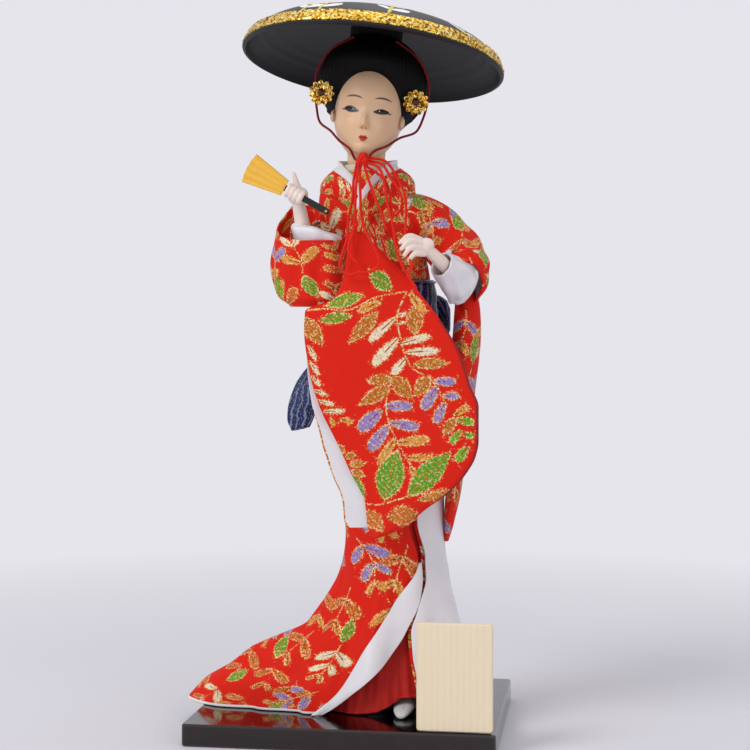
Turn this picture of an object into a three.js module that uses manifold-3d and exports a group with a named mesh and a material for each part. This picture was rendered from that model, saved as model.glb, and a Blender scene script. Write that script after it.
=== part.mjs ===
// A dressed doll, about a foot tall with its hat, standing on a black lacquered base.
// Millimetres, +Z up, origin at the centre of the base's underside, front towards -Y.
// Everything above the board is placed from its top face, so heights here start at that face.
import * as THREE from 'three';
import { mergeVertices } from 'three/addons/utils/BufferGeometryUtils.js';
import Module from 'manifold-3d';

const wasm = await Module();
wasm.setup();

// Fits
const clearance = 0.35;
const clothWall = 0.9;
const wireRadius = 0.8;
const cordRadius = 0.55;

// Base and plaque
const base = { length: 124.6, depth: 100.8, height: 9, bevel: 0.6, wireHole: 5 };
const plaque = { width: 29.6, height: 42, thickness: 3, sideInset: 1.3, frontInset: 3.1, bevel: 0.4 };

// Trunk: the padded body, as stations up the figure (height, centre, half width, half depth)
const trunk = [
  { z: 60, x: 15.4, a: 11, b: 9 },
  { z: 88, x: 14.2, a: 16, b: 12 },
  { z: 116, x: 12, a: 20, b: 14.6 },
  { z: 143, x: 10.6, a: 21.2, b: 14.8 },
  { z: 177, x: 9, a: 20.8, b: 14.2 },
  { z: 195, x: 6.6, a: 19.8, b: 13.8 },
  { z: 210, x: 5, a: 19.4, b: 12.4 },
  { z: 216, x: 4.8, a: 18.2, b: 11.4 },
  { z: 221, x: 4.6, a: 14.4, b: 10.2 },
  { z: 225, x: 4.5, a: 9.8, b: 9.4 },
];
const obi = { low: 141, high: 177, wall: 2 };

// Skirt of the kimono below the sash (height, centre, half width, half depth, reach of the train)
const skirt = [
  { z: 0, x: 12, a: 40, b: 33, train: 43.5 },
  { z: 9.5, x: 12, a: 38, b: 31, train: 36.5 },
  { z: 15, x: 12, a: 37, b: 29, train: 26 },
  { z: 22.5, x: 12, a: 35, b: 26.5, train: 17 },
  { z: 26.5, x: 12.2, a: 33.5, b: 25, train: 10 },
  { z: 34, x: 13, a: 29.6, b: 22.6, train: 1.5 },
  { z: 55, x: 15, a: 22.2, b: 17.6, train: 0 },
  { z: 72, x: 15.6, a: 19.6, b: 16.4, train: 0 },
  { z: 111, x: 12.6, a: 22, b: 17, train: 0 },
  { z: 140.5, x: 10.7, a: 22.6, b: 16.4, train: 0 },
];
const hem = { trainBearing: -88, trainSpread: 24, foldDepth: 1.6, folds: 9 };
const foldLine = [[0, -37], [5, -26], [23, 10], [33, 24], [55, 43], [63, 42], [77, 30], [141, 28]];
const leftFacing = [[0, -41], [9, -28], [29, -7], [45, 13], [61, 40], [64, 41]];
const rightFacing = {
  fold: [[0, 30], [33, 27], [43, 34], [55, 46], [63, 46], [77, 36], [141, 33]], tuck: 2, edge: 92, top: 96,
};
const underskirt = { flare: 0.7, knee: 0.87, top: 78, wall: 0.8, footArch: 6 };

// Legs and feet
const foot = { length: 25, width: 9.4, height: 8, ankle: 17, leftX: 23, leftY: -6, rightX: 9.5, rightY: 1 };

// Head, in its own frame: z = 0 at the eyes, front towards -Y (height, half width, front, back)
const head = { x: 5.3, y: -1, z: 245, roll: 6.5, yaw: 5, nod: -3 };
const neck = { x: 3.6, radius: 7.2, plugRadius: 5, plugDepth: 16, top: 234 };
const skull = [
  { z: -18.2, a: 2.4, f: 12.6, k: -6 },
  { z: -16.6, a: 6.4, f: 14.6, k: 3 },
  { z: -13.6, a: 9.8, f: 15.6, k: 9 },
  { z: -9.5, a: 13.2, f: 16.3, k: 13 },
  { z: -5, a: 15.6, f: 16.6, k: 15.6 },
  { z: 0, a: 16.7, f: 16.2, k: 17.4 },
  { z: 6, a: 16.8, f: 16.6, k: 18 },
  { z: 13, a: 15.4, f: 15.6, k: 16.8 },
  { z: 19, a: 12.4, f: 12.6, k: 13.4 },
  { z: 23.4, a: 7.6, f: 7.8, k: 8.2 },
  { z: 25.6, a: 2.6, f: 2.8, k: 2.8 },
];
const face = { noseHeight: 2.6, noseZ: -5.4, lipHeight: 0.9, lipZ: -10.6, eyeDepth: 0.8, eyeX: 7 };
const hair = [
  { z: -14, a: 12.4, f: 2, k: 15.6 },
  { z: -8, a: 17.6, f: 7, k: 19 },
  { z: 0, a: 20.6, f: 11, k: 21 },
  { z: 8, a: 22.4, f: 15, k: 22 },
  { z: 16, a: 22.6, f: 18, k: 22 },
  { z: 22, a: 21, f: 18.5, k: 21 },
  { z: 28, a: 17, f: 16, k: 18 },
  { z: 32.4, a: 11, f: 11, k: 12 },
  { z: 34.6, a: 5, f: 5, k: 6 },
];
const faceWindow = { halfWidth: 15.2, springZ: 0, rise: 17.6, depth: -1 };
const bun = { x: 0, y: 25.5, z: 5, a: 10.4, b: 7.6, c: 9.6 };

// Hat: a shallow lacquered dome over the hair, its crown as shares of its radius and rise
const hat = { radius: 55, rise: 17.8, wall: 1.3, x: -0.8, y: 1.5, z: 23.2, nod: -3.6, padRadius: 11, padLow: 5, sides: 36 };
const hatCrown = [
  [0, 1], [0.29, 0.966], [0.564, 0.854], [0.764, 0.663], [0.891, 0.438], [0.971, 0.191], [1, 0],
].map(([r, z]) => [r * hat.radius, z * hat.rise]);
const braid = { reach: 3, thickness: 1 };

// Hair ornaments and chin cord
const rosette = { radius: 5, petals: 8, thickness: 1.1, x: 19.6, back: -10.4, z: 6.4, bead: 1.7 };
const chinCord = { radius: 0.5, lift: 1.2, knot: [0.6, -17.4, -20.6] };

// Neckline
const underCollar = { height: 4.6, wall: 1 };
const collar = { nape: 228.6, dip: 13, spread: 38, height: 8, thickness: 1.2, drop: 12 };

// Right arm and its sleeve (the viewer's left)
const rightSleeve = [
  { z: 165.6, x: -13, y: -26, a: 12, b: 6.6 },
  { z: 172, x: -14.6, y: -24, a: 14.4, b: 8.6 },
  { z: 184, x: -15.6, y: -21.6, a: 15.8, b: 11.2 },
  { z: 194, x: -16, y: -17.6, a: 15, b: 14.4 },
  { z: 204, x: -18, y: -12.4, a: 11, b: 14.6 },
  { z: 212, x: -18.6, y: -9.6, a: 8.6, b: 13.4 },
];
const rightSleeveLip = [[-180, 209], [-135, 205], [-90, 197], [-45, 193], [0, 192], [90, 193], [135, 203], [180, 209]];
const rightCuff = { x: -14, y: -23, a: 9.9, b: 6.9, low: 180, top: 197.4, slope: 2.6, wall: 0.9 };
const panel = { y: -34.6, thickness: 2.6, edge: 0.8, bulge: 1.9, fold: 0.5 };
const panelLeft = [[73, 12], [78, 10], [87, 9], [99, 3.3], [110, -1.8], [127, -10], [139, -13.3],
  [156, -15.6], [163.6, -15.2], [169, -3], [181, 1], [195, 2.4]];
const panelRight = [[73, 14], [78, 25.8], [84, 32.2], [91.5, 42.4], [99, 49.2], [106, 53.1],
  [112, 54.3], [125.5, 54.3], [134, 51.1], [147, 46.8], [159, 39.7], [168, 33], [175, 27.5],
  [185, 18], [195, 8]];
const panelLining = {
  reach: [[77, 8], [80, 9.4], [108, 7], [118, 4.5], [130, 2.3], [145, 0.2]], tuck: 3, thickness: 1, low: 77, high: 145,
};

// Left arm and its sleeve (the viewer's right)
const leftSleeveRoute = [[27, -1, 203], [36, -2, 196], [45.5, -5, 185.6], [48.6, -11, 177], [43.8, -19, 175.6]];
const leftSleeveRadii = [9.4, 10.2, 11.4, 11.8, 11.4];
const leftCuff = { radius: 9.2, wall: 0.8, length: 5, proud: 3 };
const leftDrop = [
  { z: 68.4, x: 38.4, a: 0.8, b: 1.6 },
  { z: 76, x: 39.6, a: 2, b: 6 },
  { z: 92, x: 42, a: 3, b: 11 },
  { z: 118, x: 44.6, a: 3.6, b: 14 },
  { z: 146, x: 47.4, a: 4.2, b: 14 },
  { z: 160.5, x: 48.6, a: 4.4, b: 12 },
];
const leftDropY = -2;

// Hands
const rightHand = {
  elbow: [-15.6, -21.4, 182], wrist: [-18.8, -24.4, 202], palm: [-19.6, -28.4, 210.6],
  firstFinger: 11.4, fingerPitch: 1.95, fingerReach: 2.3, fingerRadius: 1.05,
  thumb: [[-18.4, -27.6, 211], [-19.8, -28.6, 215.4], [-20.8, -29.4, 219]],
};
const leftHand = {
  elbow: [45.6, -15.4, 175.6], wrist: [38.4, -27.4, 183.4], palm: [32.6, -31.8, 188.8],
  fingers: [
    [[31, -33, 191.4], [27.4, -35.6, 193.6], [23, -36, 192]],
    [[31.4, -33.4, 189.6], [27.6, -36.4, 191], [23.6, -37.2, 189.6]],
    [[31.8, -33.4, 187.6], [28.2, -36.6, 188.4], [25.2, -37.2, 187]],
    [[32.4, -33.2, 185.8], [29.4, -36.2, 186], [27, -36.8, 184.6]],
    [[32.8, -31.4, 187.6], [28.6, -33, 188.4], [24.4, -34.8, 190.6]],
  ],
};

// Fan: three sticks and a pleated leaf, held by the sticks
const fan = {
  pivot: [-7.2, -31.2, 203.6], bearing: 150.5, leafStart: 19.4, leafEnd: 37, stickWidth: 2.6,
  stickThickness: 0.5, rootWidth: 6.6, tipWidth: 12.4, pleats: 4, pleatDepth: 0.7, rivetRadius: 0.5,
};

// Sash bow at the back
const bow = { z: 160, loopLength: 25, loopHeight: 21, loopDepth: 8, knotWidth: 12, knotDepth: 10 };
const tail = {
  width: 15,
  thickness: 3.4,
  routes: {
    left: [[1, 25, 154], [-11, 24, 148], [-20.6, 19, 139], [-25.6, 14, 126], [-26.2, 12, 114]],
    right: [[11.6, 23.4, 155.6], [18.6, 26.4, 148], [23.6, 26.6, 138], [26, 25.8, 126], [26, 25.4, 112]],
  },
  across: { left: [1, -0.35, 0.25], right: [1, 0.15, 0] },
};

const finish = {
  lacquer: { color: '#1b1311', roughness: 0.2 },
  paleWood: { color: '#ecd6b4', roughness: 0.7 },
  brocade: { color: '#d81c12', roughness: 0.75 },
  plainRed: { color: '#d42018', roughness: 0.8 },
  satin: { color: '#f3f0ee', roughness: 0.45 },
  sash: { color: '#1c2f6a', roughness: 0.6 },
  skin: { color: '#f0dcc4', roughness: 0.4 },
  hair: { color: '#1a1512', roughness: 0.5 },
  hatShell: { color: '#2b2c2e', roughness: 0.35 },
  gold: { color: '#d9a520', roughness: 0.3, metalness: 0.9 },
  cord: { color: '#e23020', roughness: 0.7 },
  darkCord: { color: '#8a1018', roughness: 0.7 },
  fanPaper: { color: '#f5b93a', roughness: 0.6 },
  fanStick: { color: '#0f1416', roughness: 0.4 },
  steel: { color: '#9a9da0', roughness: 0.35, metalness: 1 },
  padding: { color: '#e8e2d6', roughness: 0.9 },
  bead: { color: '#7a4a16', roughness: 0.3 },
};

const part = new THREE.Group();
part.name = 'geisha_doll';
const doll = new THREE.Group();
doll.position.z = base.height;
part.add(doll);

function addMesh(group, name, geometry, look) {
  const mesh = new THREE.Mesh(outward(geometry), new THREE.MeshStandardMaterial(finish[look]));
  mesh.name = name;
  group.add(mesh);
  return mesh;
}

// Smooth curve through [t, value] pairs that never overshoots them
function curveThrough(pairs) {
  const last = pairs.length - 1;
  const rise = (i) => (pairs[i + 1][1] - pairs[i][1]) / (pairs[i + 1][0] - pairs[i][0]);
  const slopes = pairs.map((pair, i) => {
    if (i === 0) return rise(0);
    if (i === last) return rise(last - 1);
    const before = rise(i - 1);
    const after = rise(i);
    return before * after <= 0 ? 0 : (2 * before * after) / (before + after);
  });
  return (t) => {
    let i = 0;
    while (i < last - 1 && t > pairs[i + 1][0]) i += 1;
    const width = pairs[i + 1][0] - pairs[i][0];
    const s = THREE.MathUtils.clamp((t - pairs[i][0]) / width, 0, 1);
    const bend = s * s * (3 - 2 * s);
    return pairs[i][1] * (1 - bend) + pairs[i + 1][1] * bend
      + width * (slopes[i] * s * (1 - s) * (1 - s) - slopes[i + 1] * s * s * (1 - s));
  };
}

function stations(table, key) {
  return curveThrough(table.map((row) => [row.z, row[key]]));
}

// The same body with its faces pointing out, whichever way its profile ran
function outward(geometry) {
  const flat = geometry.index ? geometry.toNonIndexed() : geometry;
  const position = flat.attributes.position.array;
  const [a, b, c] = [new THREE.Vector3(), new THREE.Vector3(), new THREE.Vector3()];
  let volume = 0;
  for (let i = 0; i < position.length; i += 9) {
    a.fromArray(position, i);
    b.fromArray(position, i + 3);
    c.fromArray(position, i + 6);
    volume += a.dot(b.cross(c));
  }
  if (volume > 0) return geometry;
  const turned = new Float32Array(position.length);
  for (let i = 0; i < position.length; i += 9) {
    turned.set(position.slice(i, i + 3), i);
    turned.set(position.slice(i + 6, i + 9), i + 3);
    turned.set(position.slice(i + 3, i + 6), i + 6);
  }
  const body = new THREE.BufferGeometry();
  body.setAttribute('position', new THREE.BufferAttribute(turned, 3));
  return body;
}

function bodyFrom(points, faces) {
  const position = faces.flatMap((corners) => corners.flatMap((i) => points[i]));
  const geometry = new THREE.BufferGeometry();
  geometry.setAttribute('position', new THREE.Float32BufferAttribute(position, 3));
  return outward(geometry);
}

// Skin over a list of rings; a looped list closes on itself, another is capped at both ends
function loft(rings, looped = false) {
  const sides = rings[0].length;
  const points = rings.flat();
  const faces = [];
  const spans = looped ? rings.length : rings.length - 1;
  for (let row = 0; row < spans; row += 1) {
    const next = (row + 1) % rings.length;
    for (let i = 0; i < sides; i += 1) {
      const j = (i + 1) % sides;
      faces.push([row * sides + i, row * sides + j, next * sides + j]);
      faces.push([row * sides + i, next * sides + j, next * sides + i]);
    }
  }
  if (!looped) {
    [[rings[0], 0, true], [rings[rings.length - 1], (rings.length - 1) * sides, false]]
      .forEach(([ring, first, flip]) => {
        const centre = [0, 1, 2].map((k) => ring.reduce((sum, p) => sum + p[k], 0) / sides);
        points.push(centre);
        for (let i = 0; i < sides; i += 1) {
          const pair = [first + i, first + ((i + 1) % sides)];
          if (flip) pair.reverse();
          faces.push([pair[0], pair[1], points.length - 1]);
        }
      });
  }
  return bodyFrom(points, faces);
}

// Closed sheet between two grids of the same size
function sheet(outer, inner) {
  const rows = outer.length;
  const columns = outer[0].length;
  const points = [...outer.flat(), ...inner.flat()];
  const faces = [];
  const at = (side, row, column) => side * rows * columns + row * columns + column;
  const quad = (a, b, c, d) => faces.push([a, b, c], [a, c, d]);
  for (let r = 0; r + 1 < rows; r += 1) {
    for (let c = 0; c + 1 < columns; c += 1) {
      quad(at(0, r, c), at(0, r, c + 1), at(0, r + 1, c + 1), at(0, r + 1, c));
      quad(at(1, r, c), at(1, r + 1, c), at(1, r + 1, c + 1), at(1, r, c + 1));
    }
  }
  for (let c = 0; c + 1 < columns; c += 1) {
    quad(at(0, 0, c + 1), at(0, 0, c), at(1, 0, c), at(1, 0, c + 1));
    quad(at(0, rows - 1, c), at(0, rows - 1, c + 1), at(1, rows - 1, c + 1), at(1, rows - 1, c));
  }
  for (let r = 0; r + 1 < rows; r += 1) {
    quad(at(0, r, 0), at(0, r + 1, 0), at(1, r + 1, 0), at(1, r, 0));
    quad(at(0, r + 1, columns - 1), at(0, r, columns - 1), at(1, r, columns - 1), at(1, r + 1, columns - 1));
  }
  return bodyFrom(points, faces);
}

function range(count, from, to) {
  return Array.from({ length: count }, (_, i) => from + ((to - from) * i) / (count - 1));
}

function ovalRing(sides, x, y, z, a, b) {
  return range(sides + 1, 0, 2 * Math.PI).slice(0, sides)
    .map((angle) => [x + a * Math.sin(angle), y - b * Math.cos(angle), z]);
}

// Tapered limb along a list of points, with rounded ends
function limb(points, radii, sides = 8, steps = 10) {
  const curve = new THREE.CatmullRomCurve3(points.map((p) => new THREE.Vector3(...p)));
  const radiusAt = curveThrough(radii.map((r, i) => [i / (radii.length - 1), r]));
  const frames = curve.computeFrenetFrames(steps);
  const ring = (i, centre, radius) => range(sides + 1, 0, 2 * Math.PI).slice(0, sides).map((angle) => (
    centre.clone()
      .addScaledVector(frames.normals[i], radius * Math.cos(angle))
      .addScaledVector(frames.binormals[i], radius * Math.sin(angle)).toArray()));
  const rings = range(steps + 1, 0, 1).map((t, i) => ring(i, curve.getPoint(t), radiusAt(t)));
  const cap = (i, sign) => ring(
    i,
    curve.getPoint(i / steps).addScaledVector(frames.tangents[i], sign * radiusAt(i / steps) * 0.6),
    radiusAt(i / steps) * 0.62,
  );
  return loft([cap(0, -1), ...rings, cap(steps, 1)]);
}

// Plain round tube along hand-chosen points
function tube(points, radius, steps = 24, sides = 8) {
  const section = new THREE.Shape(range(sides + 1, 0, 2 * Math.PI).slice(0, sides)
    .map((angle) => new THREE.Vector2(radius * Math.cos(angle), radius * Math.sin(angle))));
  const path = new THREE.CatmullRomCurve3(points.map((p) => new THREE.Vector3(...p)));
  return new THREE.ExtrudeGeometry(section, { steps, bevelEnabled: false, extrudePath: path });
}

function revolve(profile, segments) {
  const geometry = new THREE.LatheGeometry(profile.map(([r, z]) => new THREE.Vector2(r, z)), segments);
  return geometry.rotateX(Math.PI / 2);
}

function solid(geometry) {
  const bare = outward(geometry).clone();
  bare.deleteAttribute('normal');
  bare.deleteAttribute('uv');
  const merged = mergeVertices(bare, 1e-4);
  const index = merged.index
    ? merged.index.array
    : Uint32Array.from({ length: merged.attributes.position.count }, (_, i) => i);
  return new wasm.Manifold(new wasm.Mesh({
    numProp: 3,
    vertProperties: new Float32Array(merged.attributes.position.array),
    triVerts: new Uint32Array(index),
  }));
}

function geometryOf(manifold) {
  const { vertProperties, triVerts } = manifold.getMesh();
  const geometry = new THREE.BufferGeometry();
  geometry.setAttribute('position', new THREE.BufferAttribute(vertProperties, 3));
  geometry.setIndex(new THREE.BufferAttribute(triVerts, 1));
  return geometry;
}

function cut(geometry, ...tools) {
  return geometryOf(tools.reduce((left, tool) => left.subtract(solid(tool)), solid(geometry)));
}

function join(...geometries) {
  return geometryOf(geometries.slice(1).reduce((sum, next) => sum.add(solid(next)), solid(geometries[0])));
}

function rod(from, to, radius, sides = 12) {
  const start = new THREE.Vector3(...from);
  const span = new THREE.Vector3(...to).sub(start);
  const geometry = new THREE.CylinderGeometry(radius, radius, span.length(), sides);
  geometry.rotateX(Math.PI / 2).translate(0, 0, span.length() / 2);
  geometry.applyQuaternion(new THREE.Quaternion().setFromUnitVectors(
    new THREE.Vector3(0, 0, 1),
    span.clone().normalize(),
  ));
  return geometry.translate(start.x, start.y, start.z);
}

const toRadians = THREE.MathUtils.degToRad;

const feet = [
  { side: 'left', x: foot.leftX, y: foot.leftY },
  { side: 'right', x: foot.rightX, y: foot.rightY },
].map((one) => ({ ...one, ankleY: one.y + foot.length * 0.22 }));

// Base and plaque
function roundedPlate(width, depth, thickness, corner, bevel) {
  const shape = new THREE.Shape();
  const [w, d] = [width / 2 - bevel, depth / 2 - bevel];
  shape.moveTo(-w + corner, -d);
  shape.lineTo(w - corner, -d);
  shape.absarc(w - corner, -d + corner, corner, -Math.PI / 2, 0);
  shape.absarc(w - corner, d - corner, corner, 0, Math.PI / 2);
  shape.absarc(-w + corner, d - corner, corner, Math.PI / 2, Math.PI);
  shape.absarc(-w + corner, -d + corner, corner, Math.PI, 1.5 * Math.PI);
  const geometry = new THREE.ExtrudeGeometry(shape, {
    depth: thickness - 2 * bevel, bevelEnabled: true, bevelThickness: bevel, bevelSize: bevel, bevelSegments: 1,
    curveSegments: 2,
  });
  return geometry.translate(0, 0, bevel);
}

function addBase() {
  const board = roundedPlate(base.length, base.depth, base.height, 1, base.bevel);
  const holes = feet.map(({ x, ankleY }) => rod(
    [x, ankleY, base.height - base.wireHole],
    [x, ankleY, base.height + 1],
    wireRadius + clearance,
  ));
  addMesh(part, 'base_board', cut(board, ...holes), 'lacquer');
  const plate = roundedPlate(plaque.width, plaque.height, plaque.thickness, 0.8, plaque.bevel);
  plate.rotateX(Math.PI / 2);
  plate.translate(
    (base.length - plaque.width) / 2 - plaque.sideInset,
    plaque.frontInset + plaque.thickness / 2 - base.depth / 2,
    plaque.height / 2 + clearance,
  );
  addMesh(doll, 'name_plaque', plate, 'paleWood');
}

// Trunk and garments share the trunk's own centre line and widths
const bodiceLevels = [obi.low + 4, 160, 182, 203, 213, 218, 222];
const bodiceSides = 24;
const trunkX = stations(trunk, 'x');
const trunkA = stations(trunk, 'a');
const trunkB = stations(trunk, 'b');
const trunkTop = trunk[trunk.length - 1].z;
const trunkLow = trunk[0].z;

function trunkRing(z, grow, sides = bodiceSides) {
  return ovalRing(sides, trunkX(z), 0, z, trunkA(z) + grow, trunkB(z) + grow);
}

function addBody() {
  const rings = [trunkLow, 88, 116, ...bodiceLevels, trunkTop].map((z) => trunkRing(z, 0));
  const neckWell = rod(
    [neck.x, 0, trunkTop - neck.plugDepth - clearance],
    [neck.x, 0, trunkTop + 1],
    neck.plugRadius + clearance,
    16,
  );
  const legWells = feet.map(({ x, ankleY }) => rod(
    [x, ankleY, trunkLow - 20],
    [trunkX(trunkLow) + (x - trunkX(trunkLow)) * 0.4, 0, trunkLow + 14],
    wireRadius + 2 * clearance,
  ));
  const armWells = [
    rod([-30, -1, 200], [-6, -1, 204], wireRadius + clearance),
    rod([40, -1, 200], [16, -1, 204], wireRadius + clearance),
  ];
  addMesh(doll, 'padded_body', cut(loft(rings), neckWell, ...legWells, ...armWells), 'padding');
  feet.forEach(({ side, x, ankleY }) => {
    const hip = [trunkX(trunkLow) + (x - trunkX(trunkLow)) * 0.4, 0, trunkLow + 12];
    const knee = [x, ankleY, trunkLow - 20];
    const route = [[x, ankleY, -base.wireHole + clearance], [x, ankleY, foot.ankle + 6], knee, hip];
    addMesh(doll, `leg_wire_${side}`, tube(route, wireRadius, 10, 8), 'steel');
  });
}

function footGeometry({ x, y: footY, ankleY }) {
  const sole = footY - foot.length * 0.72;
  const heel = footY + foot.length * 0.28;
  const along = curveThrough([[0, 0.5], [0.18, 0.9], [0.4, 1], [0.75, 0.8], [1, 0.5]]);
  const up = curveThrough([[0, 0.42], [0.2, 0.62], [0.55, 0.85], [1, 0.9]]);
  const rings = range(7, 0, 1).map((t) => {
    const y = sole + (heel - sole) * t;
    const w = (foot.width / 2) * along(t);
    const h = foot.height * up(t);
    return range(11, 0, 2 * Math.PI).slice(0, 10).map((angle) => [
      x + w * Math.sin(angle), y, Math.max(0, h / 2 - (h / 2) * 1.12 * Math.cos(angle)) + clearance,
    ]);
  });
  const shin = loft([4, 10, foot.ankle].map((z) => ovalRing(10, x, ankleY, z, 3.6, 4.2)));
  const bore = rod([x, ankleY, -2], [x, ankleY, foot.ankle + 2], wireRadius + clearance, 8);
  return cut(join(loft(rings), shin), bore);
}

function addFeet() {
  feet.forEach((one) => addMesh(doll, `foot_${one.side}`, footGeometry(one), 'satin'));
}

// Skirt: star-shaped rings around the trunk's line, the train a long bulge to the left
const skirtShape = {
  x: stations(skirt, 'x'), a: stations(skirt, 'a'), b: stations(skirt, 'b'), train: stations(skirt, 'train'),
};
const skirtTop = skirt[skirt.length - 1].z;

function skirtPoint(degrees, z, inset, scale = 1, train = 1) {
  const angle = toRadians(degrees);
  const [s, c] = [Math.sin(angle), Math.cos(angle)];
  const a = skirtShape.a(z) * scale;
  const b = skirtShape.b(z) * scale;
  const oval = (a * b) / Math.hypot(b * s, a * c);
  const turn = ((degrees - hem.trainBearing + 540) % 360) - 180;
  const reach = skirtShape.train(z) * Math.exp(-((turn / hem.trainSpread) ** 2)) * train;
  const spread = THREE.MathUtils.smoothstep(1 - z / 80, 0, 1);
  const fold = hem.foldDepth * spread * train * Math.cos(hem.folds * angle + 0.6);
  const r = oval + reach + fold - inset;
  return [skirtShape.x(z) + r * s, -r * c, z];
}

const skirtHeights = [0, 6, 11, 15, 19, 23, 27, 34, 47, 66, 100, 140.5];

function skirtSheet(from, to, heights, columns, inset, wall) {
  const grid = (depth) => heights.map((z) => range(columns, from(z), to(z))
    .map((degrees) => skirtPoint(degrees, z + clearance, depth)));
  return sheet(grid(inset), grid(inset + wall));
}

function addSkirts() {
  const fold = curveThrough(foldLine);
  const rightFold = curveThrough(rightFacing.fold);
  const kimono = skirtSheet(
    fold,
    (z) => rightFold(z) - 360 + rightFacing.tuck,
    skirtHeights,
    32,
    0,
    clothWall,
  );
  addMesh(doll, 'kimono_skirt', kimono, 'brocade');

  const facing = curveThrough(leftFacing);
  const overlay = -(clothWall + 2 * clearance);
  addMesh(doll, 'skirt_lining_left', skirtSheet(
    (z) => facing(z),
    (z) => fold(z) + 1,
    [0, 6, 11, 15, 19, 23, 27, 33, 43, 52, 61],
    6,
    overlay,
    clothWall,
  ), 'satin');
  addMesh(doll, 'skirt_lining_right', skirtSheet(
    (z) => rightFold(z) + 3,
    () => rightFacing.edge,
    [0, 6, 15, 23, 33, 43, 58, 80, rightFacing.top],
    8,
    overlay,
    clothWall,
  ), 'satin');

  const narrow = curveThrough([[0, underskirt.flare], [56, underskirt.knee], [underskirt.top, underskirt.knee]]);
  const heights = [0, 10, 22, 36, 56, underskirt.top];
  const ring = (z, inset) => range(25, 0, 360).slice(0, 24).map((degrees) => {
    const lift = z < 1 ? underskirt.footArch * Math.exp(-(((degrees - 30) / 28) ** 2)) : 0;
    return skirtPoint(degrees, z + clearance + lift, inset, narrow(z), 0);
  });
  const outer = heights.map((z) => ring(z, 0));
  const inner = heights.map((z) => ring(z, underskirt.wall)).reverse();
  addMesh(doll, 'red_underskirt', loft([...outer, ...inner], true), 'plainRed');
}

// Upper kimono, collars and sash
function shellRings(heights, grow, wall, sides) {
  const outer = heights.map((z) => trunkRing(z, grow + wall, sides));
  const inner = heights.map((z) => trunkRing(z, grow, sides)).reverse();
  return loft([...outer, ...inner], true);
}

function addUpperKimono() {
  const bodice = shellRings(bodiceLevels, clearance, clothWall, bodiceSides);
  const armholes = [
    rod([-40, -1, 202], [-8, -1, 202], 3.4, 10),
    rod([12, -1, 202], [50, -1, 202], 3.4, 10),
  ];
  addMesh(doll, 'kimono_bodice', cut(bodice, ...armholes), 'brocade');
  const sashInner = 2 * clearance + clothWall;
  addMesh(doll, 'obi_band', shellRings(
    [obi.low, 153, 165, obi.high],
    sashInner,
    obi.wall,
    bodiceSides,
  ), 'sash');
}

// Neckline: bands that lie on the upper kimono and stand up round the neck
function necklinePoint(degrees, z, grow) {
  const angle = toRadians(degrees);
  const level = Math.min(z, trunkTop);
  const lean = Math.max(0, z - trunkTop) * 0.12;
  const a = trunkA(level) + grow + lean;
  const b = trunkB(level) + grow + lean;
  const r = (a * b) / Math.hypot(b * Math.sin(angle), a * Math.cos(angle));
  return [trunkX(level) + r * Math.sin(angle), -r * Math.cos(angle), z];
}

function collarBand(top, low, grow, wall, columns, rows) {
  const bearings = range(columns + 1, 0, 360).slice(0, columns);
  const layer = (depth) => range(rows, 0, 1).map((t) => bearings.map((degrees) => necklinePoint(
    degrees,
    THREE.MathUtils.lerp(top(degrees), low(degrees), t),
    depth,
  )));
  return loft([...layer(grow + wall), ...layer(grow).reverse()], true);
}

function frontness(degrees, spread) {
  const turn = ((degrees + 540) % 360) - 180;
  return Math.exp(-((turn / spread) ** 2));
}

function addCollars() {
  const seat = 3 * clearance + clothWall;
  const top = (degrees) => collar.nape - collar.dip * frontness(degrees, collar.spread);
  const seam = (degrees) => top(degrees) - underCollar.height;
  const low = (degrees) => seam(degrees) - clearance - collar.height - collar.drop * frontness(degrees, 34);
  addMesh(doll, 'under_collar', collarBand(top, seam, seat, underCollar.wall, 24, 3), 'satin');
  addMesh(doll, 'collar_band', collarBand(
    (degrees) => seam(degrees) - clearance,
    low,
    seat,
    collar.thickness,
    24,
    4,
  ), 'brocade');
}

// Head, hair and hat turn together on the neck
const headPose = new THREE.Matrix4().makeTranslation(head.x, head.y, head.z)
  .multiply(new THREE.Matrix4().makeRotationY(toRadians(head.roll)))
  .multiply(new THREE.Matrix4().makeRotationZ(toRadians(head.yaw)))
  .multiply(new THREE.Matrix4().makeRotationX(toRadians(head.nod)));
const hatPose = headPose.clone()
  .multiply(new THREE.Matrix4().makeTranslation(hat.x, hat.y, hat.z))
  .multiply(new THREE.Matrix4().makeRotationX(toRadians(hat.nod)));

function onHead(geometry) {
  return geometry.applyMatrix4(headPose);
}

function ovalAt(table) {
  const [a, f, k] = ['a', 'f', 'k'].map((key) => stations(table, key));
  return (degrees, z, grow) => {
    const angle = toRadians(degrees);
    const centre = (k(z) - f(z)) / 2;
    const depth = (k(z) + f(z)) / 2;
    return [(a(z) + grow) * Math.sin(angle), centre - (depth + grow) * Math.cos(angle), z];
  };
}

const skullAt = ovalAt(skull);
const hairAt = ovalAt(hair);

function faceDepth(x, z) {
  const bell = (distance, spread) => Math.exp(-((distance / spread) ** 2));
  const noseSpread = z > face.noseZ ? 4.4 : 1.5;
  const nose = face.noseHeight * bell(x, 1.7) * bell(z - face.noseZ, noseSpread);
  const lips = face.lipHeight * bell(x, 2.6) * bell(z - face.lipZ, 1.5);
  const eyes = face.eyeDepth * bell(Math.abs(x) - face.eyeX, 3.6) * bell(z - 0.4, 2.4);
  return nose + lips - eyes;
}

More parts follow.
